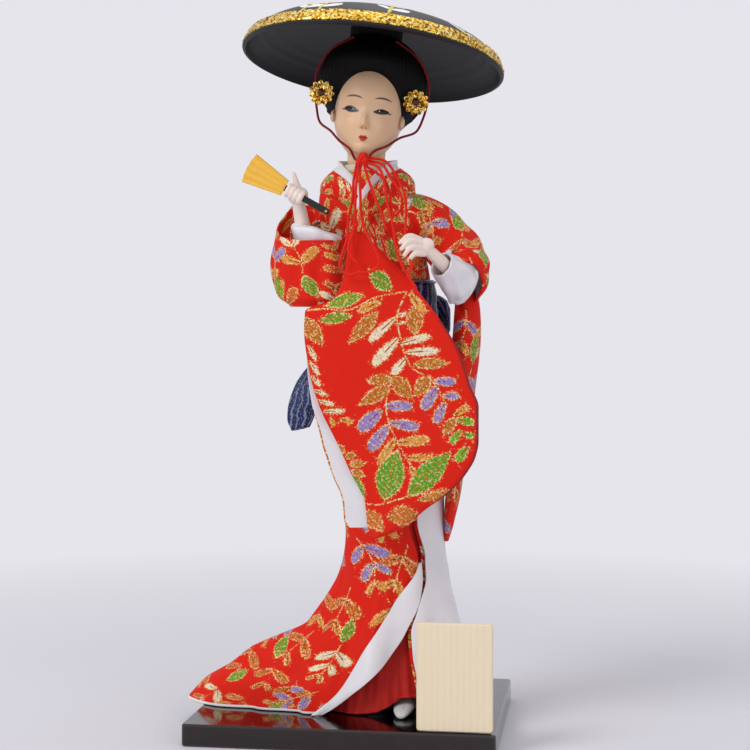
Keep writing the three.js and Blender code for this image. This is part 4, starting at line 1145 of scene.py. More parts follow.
@dataclass(frozen=True)
class TwistedCord(Finish):
    """Rayon cord of twisted strands: slanting ridges 0.9 mm apart, with a painted highlight on each ridge and
    painted shade in each groove.
    """

    light: str = "#ff2c14"
    dark: str = "#cc1208"

    def make(self) -> bpy.types.Material:
        """Build the twist on the cord's own map.

        Returns:
            The material.
        """
        g = Graph(self.name)
        lay = g.add("Mapping", {"Vector": g.add("UVMap", uv_map="cloth"), "Rotation": (0, 0, 0.7)})
        strand = g.add("TexWave", {"Vector": lay, "Scale": waves(0.9, turns=3.14), "Distortion": 0.3})
        # painted light and shade: the colour follows the same wave as the relief, light on each ridge and
        # dark in each groove
        colour = g.mix(strand.outputs["Fac"], self.dark, self.light)
        bump = g.bump(0.6, 0.00015, strand.outputs["Fac"])
        return g.surface(colour, 0.6, bump, {"Specular IOR Level": 0.25})


@dataclass(frozen=True)
class BoardLacquer(Finish):
    """Wood under black lacquer: deep gloss, faint brown with grain on the upright sides, fine dust, and a
    painted highlight along the edges.
    """

    def make(self) -> bpy.types.Material:
        """Build the lacquer, its browner sides and the painted highlight along its edges.

        Returns:
            The material.
        """
        g = Graph(self.name)
        place_ = g.add("TexCoord").outputs["Object"]
        grain = g.noise(g.stretch(place_, (40, 400, 400)), 1.0, 3.0)
        up = g.add("SeparateXYZ", [g.add("NewGeometry").outputs["True Normal"]])
        # the upright sides are browner than the top, with grain
        side = g.span(up.outputs["Z"], 0.2, 0.9, 0.75, 0.0)
        wear = g.times(side, grain)
        black = g.mix(wear, "#050303", "#24110a")
        # painted highlight: a pale line along each rounded edge, where the bevelled normal turns away from
        # the face's own
        edge = g.add("Bevel", {"Radius": 0.0009}, samples=4)
        turn = g.add("VectorMath", [edge, g.add("NewGeometry").outputs["True Normal"]],
                     operation="DOT_PRODUCT")
        painted_edge_highlight = g.span(turn.outputs["Value"], 0.99, 0.9, 0.0, 0.5)
        colour = g.mix(painted_edge_highlight, black, "#5c4a40")
        dust = g.noise(place_, 300.0, 4.0)
        rough = g.span(dust, 0.3, 0.8, 0.07, 0.2)
        return g.surface(colour, rough, None, {"Coat Weight": 0.2, "Coat Roughness": 0.06})


@dataclass(frozen=True)
class PaleWood(Finish):
    """Planed spruce: pale, dry, with straight growth lines about 2.6 mm apart and fine pores."""

    def make(self) -> bpy.types.Material:
        """Build the growth lines and the pores.

        Returns:
            The material.
        """
        g = Graph(self.name)
        place_ = g.add("TexCoord").outputs["Object"]
        rings = g.add("TexWave", {"Vector": g.stretch(place_, (1, 1, 0.06)),
                                  "Scale": waves(1.3, 1 / MM), "Distortion": 1.1, "Detail": 2.0,
                                  "Detail Scale": 0.6})
        pores = g.noise(g.stretch(place_, (2200, 2200, 130)), 1.0, 2.0)
        blend = g.plus(g.times(rings.outputs["Fac"], 0.2), g.times(pores, 0.5))
        colour = g.ramp(blend, (0.2, "#f8e8ca"), (0.55, "#f4e1be"), (0.95, "#e3c699"))
        bump = g.bump(0.2, 0.0001, pores)
        return g.surface(colour, 0.66, bump)


@dataclass(frozen=True)
class PaintedPart(Finish):
    """A small painted or plain part: an even coat with grain that breaks its gloss."""

    light: str = "#f5b93a"
    dark: str = "#e09a22"
    grain: float = 0.5
    roughness: float = 0.5
    metallic: float = 0.0
    stretch: tuple[float, float, float] = (1.0, 1.0, 1.0)

    def make(self) -> bpy.types.Material:
        """Build the coat and its grain, whose size is in mm.

        Returns:
            The material.
        """
        g = Graph(self.name)
        place_ = g.stretch(g.add("TexCoord").outputs["Object"], self.stretch)
        grain = g.noise(place_, 1 / MM / self.grain, 3.0)
        colour = g.mix(grain, self.dark, self.light)
        bump = g.bump(0.25, 0.0001, grain)
        return g.surface(colour, self.roughness, bump, {"Metallic": self.metallic})


RED_BROCADE = Brocade("red_brocade_gold_couched")
PLAIN_RED = WovenCloth("red_plain_weave", "#e02418", "#b9130c", 0.5, 0.62, 0.15)
DARK_RED = WovenCloth("crimson_lining_weave", "#b01418", "#86090f", 0.5, 0.62, 0.15)
WHITE_SATIN = WovenCloth("white_satin_lining", "#f4f1f3", "#e6e3e9", 0.42, 0.42, 0.1, 0.12)
SASH = SashBrocade("navy_sash_damask")
SKIN = MouldedVinyl("moulded_vinyl_skin")
HAIR = SilkFloss("combed_silk_floss")
HAT = PaintedLacquer("sprayed_charcoal_hat")
GLITTER = Gilt("gold_glitter_braid", "#f0b81e", "#7a4a08", 0.75, 1.0, 0.3)
FILIGREE = Gilt("stamped_gilt_filigree", "#eeb02a", "#8a540c", 1.1, 0.35, 0.22)
RED_CORD = TwistedCord("red_rayon_cord")
DARK_CORD = TwistedCord("crimson_rayon_cord", "#9c141c", "#5a070c")
LACQUER = BoardLacquer("black_lacquered_board")
WOOD = PaleWood("planed_spruce")
FAN_PAPER = PaintedPart("gold_fan_paper", "#ffcf54", "#f0b234", 0.6, 0.42, 0.15)
FAN_STICK = PaintedPart("black_fan_lacquer", "#14191b", "#07090a", 1.5, 0.22)
WIRE = PaintedPart("drawn_steel_wire", "#a8abae", "#85888c", 0.4, 0.35, 1.0)
PAD_FELT = PaintedPart("black_pad_felt", "#17120f", "#0b0808", 0.8, 0.95)
PADDING = PaintedPart("wound_straw_padding", "#ece5d6", "#cfc4ab", 0.8, 0.9)
BEAD = PaintedPart("amber_glass_bead", "#5a2c08", "#2a1204", 2.0, 0.08)
TABI = WovenCloth("tabi_cotton", "#e9edeb", "#d2d8d6", 0.45, 0.8, 0.1, 0.4)


# ---------------------------------------------------------------- trunk and garments
TRUNK = Stations((
    (60, 15.4, 11, 9), (88, 14.2, 16, 12), (116, 12, 20, 14.6), (143, 10.6, 21.2, 14.8), (177, 9, 20.8, 14.2),
    (195, 6.6, 19.8, 13.8), (210, 5, 19.4, 12.4), (216, 4.8, 18.2, 11.4), (221, 4.6, 14.4, 10.2),
    (225, 4.5, 9.8, 9.4)))


def round_trunk(degrees: Points, z: Points, grow: Points | float) -> Points:
    """Places round the trunk's surface, as the part's neckline and bodice have them.

    Args:
        degrees: bearing, 0 at the front and positive towards +x.
        z: height above the board; above the trunk the surface leans out a little.
        grow: distance outside the padded body.

    Returns:
        Array of places.
    """
    degrees, z, grow = np.broadcast_arrays(degrees, z, grow)
    angle = np.radians(degrees)
    level = np.clip(z, TRUNK.low, TRUNK.high)
    lean = np.maximum(0, z - TRUNK.high) * 0.12
    a, b = TRUNK(level, 2) + grow + lean, TRUNK(level, 3) + grow + lean
    r = a * b / np.hypot(b * np.sin(angle), a * np.cos(angle))
    return np.stack([TRUNK(level, 1) + r * np.sin(angle), -r * np.cos(angle), z + 0 * r], -1)


def mesh_of(rows: Sequence[float], columns: Sequence[float]) -> tuple[Points, Points]:
    """Row and column values over a grid."""
    return np.meshgrid(np.asarray(rows, float), np.asarray(columns, float), indexing="ij")


def around(count: int, start: float = -180.0) -> Points:
    """Bearings of a closed ring."""
    return np.linspace(start, start + 360, count, endpoint=False)


def rings_of(rows: Sequence[float], count: int) -> tuple[Points, Points, Points]:
    """Row values, bearings in degrees and the same in radians over a closed grid."""
    values, degrees = mesh_of(rows, around(count))
    return values, degrees, np.radians(degrees)


def scattered(low: Pair, high: Pair, pitch: Pair, seed: int, aim: float = -90.0,
              size: float = 10.0) -> Pattern:
    """Sprays on a loose lattice over a cloth.

    Args:
        low: lowest flat corner in mm.
        high: highest flat corner in mm.
        pitch: spacing of the sprays across and up.
        seed: seed of the small changes in place and aim.
        aim: bearing that most stems follow.
        size: length of the largest petals.

    Returns:
        The pattern.
    """
    luck = np.random.default_rng(seed)
    bands = ((Tone.CREAM, Tone.CREAM, Tone.COPPER), (Tone.PURPLE, Tone.PURPLE, Tone.GOLD),
             (Tone.COPPER, Tone.GOLD, Tone.COPPER), (Tone.GOLD, Tone.COPPER, Tone.CREAM),
             (Tone.FIRE, Tone.GOLD, Tone.GOLD))
    sprays = []
    row = 0
    y = low[1]
    while y < high[1] + pitch[1]:
        x = low[0] - pitch[0] / 2 * (row % 2)
        while x < high[0] + pitch[0]:
            jump = luck.uniform(-0.14, 0.14, 2) * pitch
            sprays.append(Spray(
                (float(x + jump[0]), float(y + jump[1])), float(aim + luck.uniform(-26, 26)),
                float(pitch[1] * luck.uniform(0.78, 0.95)), float(luck.uniform(-0.16, 0.16)),
                bands[int(luck.integers(len(bands)))], float(size * luck.uniform(0.88, 1.1)),
                int(luck.integers(3)) // 2))
            x += pitch[0]
        y += pitch[1]
        row += 1
    return pattern_of(sprays)


@dataclass
class Skirts:
    """Kimono skirt with its train, the white linings turned out in front, and the red underskirt."""

    table: Stations = Stations((
        (0, 12, 40, 33, 43.5), (9.5, 12, 38, 31, 36.5), (15, 12, 37, 29, 26), (22.5, 12, 35, 26.5, 20.5),
        (26.5, 12.2, 33.5, 25, 13), (34, 13, 29.6, 22.6, 2.2), (55, 15, 22.2, 17.6, 0),
        (72, 15.6, 19.6, 16.4, 0), (111, 12.6, 22, 17, 0), (140.5, 10.7, 22.6, 16.4, 0)))
    train_bearing: float = -88
    train_spread: float = 24
    fold_depth: float = 1.6
    folds: int = 9
    fold_line: Curve = Curve(((0, -37), (5, -26), (23, 10), (33, 24), (55, 43), (63, 42), (77, 30),
                              (141, 28)))
    left_facing: Curve = Curve(((0, -41), (9, -28), (29, -7), (45, 13), (61, 40), (64, 41)))
    right_fold: Curve = Curve(((0, 30), (33, 27), (43, 34), (55, 46), (63, 46), (77, 36), (141, 33)))
    right_edge: float = 92
    right_top: float = 96
    under_scale: Curve = Curve(((0, 0.82), (56, 0.87), (78, 0.87)))
    foot_arch: float = 7
    hem_edge: float = 1.5

    def point(self, degrees: Points, z: Points, inset: Points | float, scale: Points | float = 1,
              train: float = 1) -> Points:
        """Places on the skirt, with the long bulge of the train.

        Args:
            degrees: bearing, 0 at the front.
            z: height above the board.
            inset: distance inside the outer cloth.
            scale: share of the oval's size.
            train: share of the train's reach.

        Returns:
            Array of places.
        """
        angle = np.radians(degrees)
        s, c = np.sin(angle), np.cos(angle)
        a, b = self.table(z, 2) * scale, self.table(z, 3) * scale
        oval = a * b / np.hypot(b * s, a * c)
        turn = (degrees - self.train_bearing + 540) % 360 - 180
        reach = self.table(z, 4) * np.exp(-(turn / self.train_spread) ** 2) * train
        spread = step(0, 1, 1 - z / 80)
        fold = self.fold_depth * spread * train * np.cos(self.folds * angle + 0.6)
        r = oval + reach + fold - inset
        return np.stack([self.table(z, 1) + r * s, -r * c, z + 0 * r], -1)

    def kimono(self) -> None:
        """The brocade skirt, red outside and white inside, with its white hem edge."""
        z, t = mesh_of(np.concatenate([np.linspace(0.35, 34, 74), np.linspace(34.6, 140.5, 118)]),
                       np.linspace(0, 1, 400))
        start, end = self.fold_line(z), self.right_fold(z) - 358
        degrees = start + (end - start) * t ** 1.15
        near_edge = step(0, 0.03, t)
        angle = np.radians(degrees)
        low = step(1, 0, z / 70)
        wrinkle = (0.5 * np.sin(23 * angle + 0.09 * z + 1.1) + 0.35 * np.sin(37 * angle - 0.05 * z)) * low
        swag = 0.5 * np.sin(0.16 * z + 3 * angle) * np.exp(-((z - 60) / 30) ** 2)
        roll = 1.4 * bell(degrees + 62, 14) * bell(z - 14, 7) - 1.8 * bell(degrees + 46, 9) * bell(z - 20, 7)
        x = self.point(degrees, z, 0)[..., 0]
        trailing = step(-22, -34, x) * step(30, 12, z)
        roll = roll + trailing * (2.0 * bell(x + 52, 6) - 1.6 * bell(x + 42, 4) + 1.8 * bell(x + 31, 6))
        grid = self.point(degrees, z, -(wrinkle + swag + roll) * near_edge)
        across = np.concatenate([np.zeros((len(z), 1)),
                                 np.cumsum(np.linalg.norm(np.diff(grid, axis=1), axis=2), 1)], 1)
        down = np.linalg.norm(np.diff(grid, axis=0), axis=2)[::-1].cumsum(0)[::-1]
        cloth = np.dstack([across, -np.vstack([down, np.zeros((1, grid.shape[1]))])])
        skin = Skin("kimono_skirt_cloth", grid, away=(12, 0, 40), cloth=cloth)
        obj = skin.build(scattered((-4, -190), (330, 0), (18, 24), 5, -84, 12.5))
        hem = [p.center.z < (BOARD_TOP + self.hem_edge) * MM for p in obj.data.polygons]
        tailor(obj, "brocade", "kimono_skirt", RED_BROCADE, WHITE_SATIN, wall=CLOTH_WALL, lined=True,
               second=hem)

    def lining(self, name: str, node: str, start: Curve, end: Callable, top: float,
               roll: float) -> bpy.types.Object:
        """One white lining, turned out over the skirt.

        Args:
            name: name of the piece.
            node: CAD node that it replaces.
            start: bearing of its first edge at a height.
            end: bearing of its other edge at a height.
            top: its top height.
            roll: how far its middle stands proud, in mm.

        Returns:
            The piece.
        """
        z, t = mesh_of(np.linspace(0.4, top, 130), np.linspace(0, 1, 60))
        degrees = start(z) + (end(z) - start(z)) * t
        lift = CLOTH_WALL + 1.1 + roll * np.sin(np.pi * t) + 0.25 * np.sin(0.5 * z + 5 * t) * step(90, 10, z)
        obj = Skin(name, self.point(degrees, z, -lift), away=(12, 0, 40)).build()
        return tailor(obj, "white_satin", node, WHITE_SATIN, wall=LINING_WALL)

    def underskirt(self) -> None:
        """The plain red underskirt, lifted over the foot."""
        z, degrees = mesh_of(np.linspace(0.4, 78, 110), around(220))
        lift = self.foot_arch * np.exp(-((degrees - 30) / 22) ** 2) * step(8, 0, z)
        angle = np.radians(degrees)
        wrinkle = (0.45 * np.sin(13 * angle + 0.03 * z) * step(70, 5, z)
                   + 0.3 * np.sin(41 * angle) * step(40, 0, z))
        grid = self.point(degrees, z + lift, -wrinkle, self.under_scale(z), 0)
        obj = Skin("underskirt_cloth", grid, wrap=True).build()
        tailor(obj, "plain_red", "red_underskirt", PLAIN_RED, wall=LINING_WALL)

    def build(self) -> None:
        """Make all the skirts."""
        self.kimono()
        left = self.lining("left_lining_cloth", "skirt_lining_left", self.left_facing,
                           lambda z: self.fold_line(z) + 1, 61, 0.5)
        right = self.lining("right_lining_cloth", "skirt_lining_right", lambda z: self.right_fold(z) + 3,
                            lambda z: self.right_edge + 0 * z, self.right_top, 0.9)
        self.underskirt()


@dataclass
class UpperKimono:
    """Bodice, the two collars and the sash."""

    low: float = 145
    high: float = 222
    nape: float = 228.6
    dip: float = 15
    cusp: float = 36
    sash_low: float = 141
    sash_high: float = 177
    sash_wall: float = 2
    collar_wall: float = 0.7

    def bodice(self) -> None:
        """The upper kimono, with soft folds where it tucks into the sash."""
        z, degrees, angle = rings_of(np.linspace(self.low, self.high, 100), 300)
        front = bell(degrees, 70)
        folds = 0.45 * np.sin(19 * angle + 0.05 * z) * front * step(216, 190, z)
        obj = Skin("bodice_cloth", round_trunk(degrees, z, CLEARANCE + CLOTH_WALL + 0.1 + folds),
                   wrap=True).build(
            scattered((-70, 0), (70, 80), (12, 17), 12, 88, 10.5))
        tailor(obj, "brocade", "kimono_bodice", RED_BROCADE, wall=CLOTH_WALL)

    def band(self, name: str, side: int, drop: float, width: float, grow: float, past: float,
             finish: Finish, pattern: Pattern | None) -> bpy.types.Object:
        """Half of a collar, from the nape round one side of the neck to where it crosses in front.

        Args:
            name: name of the piece.
            side: 1 for the half that comes round +x.
            drop: how far its top edge lies under the neckline, in mm.
            width: its width in mm.
            grow: how far it lies outside the padded body.
            past: how far it runs past the middle of the front, in degrees.
            finish: its cloth.
            pattern: its motifs.

        Returns:
            The piece.
        """
        turn, t = mesh_of(np.linspace(184, -past, 150), np.linspace(0, 1, 16))
        fall = np.where(turn > 0, np.exp(-turn / self.cusp), 1 - turn / self.cusp)
        top = self.nape - self.dip * fall - drop * (1 + 0.35 * np.clip(fall, 0, 1))
        wide = width * (1 + 0.45 * np.clip(fall, 0, 1.4))
        puff = 0.45 * np.sin(np.pi * t)
        tuck = (grow - CLEARANCE - CLOTH_WALL - 0.3) * step(0.3, 1, t) * step(0.8, 0.35, fall)
        grid = round_trunk(side * turn, top - wide * t, grow + puff - tuck)
        obj = Skin(name, grid, away=(4.6, 0, 205)).build(pattern)
        dress(obj, finish)
        return thicken(obj, self.collar_wall)

    def collars(self) -> None:
        """White under collar and brocade collar, each in two halves that cross in front."""
        seat = CLOTH_WALL + 3 * CLEARANCE
        flowers = scattered((-8, 0), (12, 60), (9, 13), 21, 85, 8)
        halves = [self.band("white_collar_right_half", -1, 0, 5.4, seat, 10, WHITE_SATIN, None),
                  self.band("white_collar_left_half", 1, 0, 5.4, seat + 0.75, 12, WHITE_SATIN, None)]
        white = join("white_collar_cloth", halves)
        ride(white, Body.FIGURE, ("under_collar",))
        halves = [self.band("collar_right_half", -1, 3.4, 9, seat + 0.3, 30, RED_BROCADE, flowers),
                  self.band("collar_left_half", 1, 3.4, 9, seat + 1.3, 52, RED_BROCADE, flowers)]
        outer = join("brocade_collar_cloth", halves)
        ride(outer, Body.FIGURE, ("collar_band",))

    def sash(self) -> None:
        """The navy sash with a silver edge line at its top."""
        z, degrees = mesh_of(np.linspace(self.sash_low, self.sash_high, 60), around(240))
        t = (z - self.sash_low) / (self.sash_high - self.sash_low)
        round_edge = self.sash_wall - 0.7 * (np.abs(2 * t - 1) ** 8)
        crease = 0.18 * np.sin(9 * np.pi * t + 2 * np.radians(degrees))
        grow = 2 * CLEARANCE + CLOTH_WALL + round_edge + crease
        obj = Skin("obi_band_cloth", round_trunk(degrees, z, grow), wrap=True).build()
        tailor(obj, "navy_sash", "obi_band", SASH, wall=self.sash_wall - 0.1)
        ring = round_trunk(around(160), np.full(160, self.sash_high - 0.8), 2 * CLEARANCE + CLOTH_WALL + 2)
        rings = tube_rings(np.vstack([ring, ring[:1]]), np.full(161, 0.42), 8)
        edge = Skin("obi_silver_edge", rings[:-1].transpose(1, 0, 2), wrap=True).build()
        outwards(edge)
        dress(edge, PaintedPart("silver_edge_thread", "#c6ccd8", "#8b93a4", 0.5, 0.35, 0.7))
        ride(edge, Body.FIGURE)

    def build(self) -> None:
        """Make the bodice, the collars and the sash."""
        self.bodice()
        self.sash()
        self.collars()


@dataclass
class SashBow:
    """Padded bow at the back: knot, two loops and two tails."""

    z: float = 160
    loop_length: float = 25
    loop_height: float = 21
    loop_depth: float = 8
    knot_width: float = 12
    knot_depth: float = 10
    tail_width: float = 15
    tail_thickness: float = 3.4
    left_route: tuple = ((1, 25, 154), (-11, 24, 148), (-20.6, 19, 139), (-25.6, 14, 126), (-26.2, 12, 114))
    right_route: tuple = ((11.6, 23.4, 155.6), (18.6, 26.4, 148), (23.6, 26.6, 138), (26, 25.8, 126),
                          (26, 25.4, 112))
    across: tuple = ((1, -0.35, 0.25), (1, 0.15, 0))

    @property
    def knot_y(self) -> float:
        """Depth of the knot's middle."""
        return float(TRUNK(self.z, 3)) + 3 * CLEARANCE + CLOTH_WALL + 2 + self.knot_depth / 2

    def knot(self) -> None:
        """The knot, with creases that run up it."""
        t, degrees = mesh_of(np.linspace(0.02, 0.98, 40), around(72))
        angle, rise = np.radians(degrees), np.pi * t
        crease = 1 - 0.05 * np.cos(10 * angle) * np.sin(rise)
        half, deep, high = self.knot_width / 2, self.knot_depth / 2, self.loop_height / 2 - 3
        grid = np.stack([float(TRUNK(self.z, 1)) + half * np.sin(rise) * np.cos(angle) * crease,
                         self.knot_y + deep * np.sin(rise) * np.sin(angle) * crease,
                         self.z - high * np.cos(rise)], -1)
        obj = Skin("bow_knot_cloth", grid, wrap=True, capped=True).build()
        tailor(obj, "navy_sash", "bow_center_knot", SASH)

    def loop(self, side: int, name: str) -> None:
        """One padded loop, gathered at the knot.

        Args:
            side: 1 towards +x.
            name: left or right.
        """
        swell = Curve(((0, 0.42), (0.35, 0.82), (0.75, 1), (0.93, 0.8), (1, 0.45)))
        t, _, angle = rings_of(np.linspace(0, 1, 56), 96)
        gather = 1 + 0.09 * np.cos(12 * angle) * (1 - t) ** 1.5
        fat = swell(t) * gather
        dent = 1 - 0.3 * bell(np.sin(angle), 0.3) * step(0.2, 0.9, t)
        grid = np.stack([float(TRUNK(self.z, 1)) + side * (3 + self.loop_length * t) + 0 * angle,
                         self.knot_y - 0.5 - 5 * t * t + self.loop_depth / 2 * fat * dent * np.cos(angle),
                         self.z + 1 + self.loop_height / 2 * fat * np.sin(angle)], -1)
        obj = Skin(f"bow_loop_{name}_cloth", grid, wrap=True, capped=True).build()
        tailor(obj, "navy_sash", f"bow_loop_{name}_pad", SASH)

    def tail(self, name: str, route: tuple, across: Sequence[float]) -> None:
        """One padded tail with its pointed end.

        Args:
            name: left or right.
            route: places that its middle goes through.
            across: direction of its width.
        """
        taper = Curve(((0, 0.5), (0.25, 0.8), (0.6, 1), (0.9, 0.94), (1, 0.62)))
        path = even(spline(route, 12), 70)
        along = np.gradient(path, axis=0)
        wide = np.array(across) / np.linalg.norm(across)
        thick = np.cross(along, wide)
        thick /= np.linalg.norm(thick, axis=1)[:, None]
        t, _, angle = rings_of(np.linspace(0, 1, 70), 64)
        slim = np.sign(np.sin(angle)) * np.abs(np.sin(angle)) ** 0.8
        ripple = 0.35 * np.sin(3 * np.pi * np.cos(angle) + 4 * t)
        grid = (path[:, None] + wide * (self.tail_width / 2 * taper(t) * np.cos(angle))[..., None]
                + thick[:, None] * (self.tail_thickness / 2 * slim
                                    + ripple * np.abs(np.sin(angle)))[..., None])
        obj = Skin(f"bow_tail_{name}_cloth", grid, wrap=True, capped=True).build()
        tailor(obj, "navy_sash", f"bow_tail_{name}_pad", SASH)

    def build(self) -> None:
        """Make the whole bow."""
        self.knot()
        self.loop(-1, "left")
        self.loop(1, "right")
        self.tail("left", self.left_route, self.across[0])
        self.tail("right", self.right_route, self.across[1])


def petals(rows: Sequence[tuple], tone: Tone, form: Form = Form.PETAL) -> list[Motif]:
    """Motifs of one tone from rows of root, tip and width in mm."""
    return [Motif(*row, tone, form) for row in rows]


FRONT_SPRAYS = Pattern(tuple(
    petals([(21.6, 161, 10.9, 151.5, 4.3), (22.7, 152.9, 12.4, 142, 5.4), (25.7, 144.9, 20.2, 138.3, 4.3),
            (22, 161.7, 25.7, 162.4, 2.2), (22, 158.8, 25.3, 158.8, 1.8), (23.1, 150.4, 35.2, 153.7, 3.6),
            (25.7, 147.1, 38.5, 147.8, 4.3), (-13.7, 150, -10.7, 144.1, 2.5),
            (-13.3, 143.4, -9.2, 138.2, 2.5), (-12.6, 137.5, -8.8, 133.8, 2.2),
            (-11.5, 132, -5.9, 130.1, 2.2), (-10, 127.9, -3.2, 126.1, 2.3),
            (-7.7, 123.5, 1.2, 123.9, 2.5)], Tone.CREAM)
    + petals([(8.7, 169.8, -7, 165.5, 5.4), (4.2, 161.8, -10, 159.6, 4.3), (19.8, 171.6, 10.9, 180.1, 6.5),
              (16.8, 88.5, 22.4, 108.7, 10.9), (26.4, 90.5, 43.6, 108.2, 9.4), (8.7, 88.4, 2.7, 99.3, 5.1)],
             Tone.LEAF, Form.LEAF)
    + petals([(45.5, 120.9, 52.4, 119.5, 4), (47.7, 116.6, 43.3, 111.5, 4), (48.4, 115.1, 52.4, 114.1, 3.3),
              (50.2, 110.1, 45.5, 104.2, 4.7)], Tone.GREEN)
    + petals([(14.6, 163.2, 3.1, 150.8, 5.8), (28.6, 165.3, 29.4, 153.7, 6.5),
              (28.6, 142.4, 42.9, 143.1, 4.3), (34.9, 137.6, 29, 129.9, 5.8), (20.5, 137.6, 27.9, 128.8, 6.5),
              (20.2, 136.8, 9.8, 135.7, 4.3), (19.8, 133.9, 6.8, 126.2, 5.1), (45.5, 121.7, 40.4, 114.3, 4.3),
              (-16, 161.1, -7.7, 150, 6.5), (-2.1, 110.3, 0.9, 106.6, 2.8), (0.9, 105.2, 5.7, 106.7, 2.8),
              (2.7, 102.3, 9.8, 103.1, 2.8), (3.5, 100.1, 9.4, 97.9, 2.8)], Tone.COPPER, Form.LEAF)
    + petals([(16.1, 167.6, 6.5, 163.2, 3.6), (27.2, 170.5, 33, 162.4, 4.3), (21.6, 111.3, 34.9, 112.8, 4.7),
              (21.6, 113.5, 14.6, 102.4, 4.3), (25.7, 105.5, 36, 105.6, 3.6), (27.2, 101.8, 30.8, 97.5, 3.6),
              (44.7, 122.4, 50.6, 126.1, 3.6), (-4.7, 120.6, -3.2, 118, 2.5), (-1, 120.6, 4.6, 119.5, 2.9)],
             Tone.GOLD)
    + petals([(29.7, 83.2, 18.3, 81.9, 8), (9.4, 84, 16.8, 76.1, 6.5), (44.7, 92.2, 30.1, 88.7, 4.3)],
             Tone.FIRE, Form.LEAF)
    + petals([(36.3, 135.8, 45.5, 135.5, 4.3), (38.2, 134, 32.3, 124.5, 5.8), (40, 130, 46.9, 130, 3.6),
              (41.1, 127.5, 37.4, 119.1, 4.7), (16.8, 125.9, 28.3, 125.9, 5.1),
              (16.1, 124.4, 6.8, 116.3, 6.9), (19, 119.3, 30.8, 117.5, 5.1),
              (19, 118.5, 10.9, 108.2, 6.2)], Tone.PURPLE)),
    (((-16.7, 163.7), (-7.7, 164.4), (3.5, 164), (13.1, 168.7), (25.7, 171.2)),
     ((25.7, 170.5), (22, 161.7), (23.5, 152.9), (25.7, 144.9), (28.6, 140.5), (36, 136.2), (41.1, 127.5)),
     ((20.2, 136.8), (17.6, 126.6), (18.7, 120), (21.6, 112.7), (25.7, 105.5), (28.6, 101.1)),
     ((8.7, 86.9), (14.6, 86.6), (26.4, 90.1), (44, 92.9))))


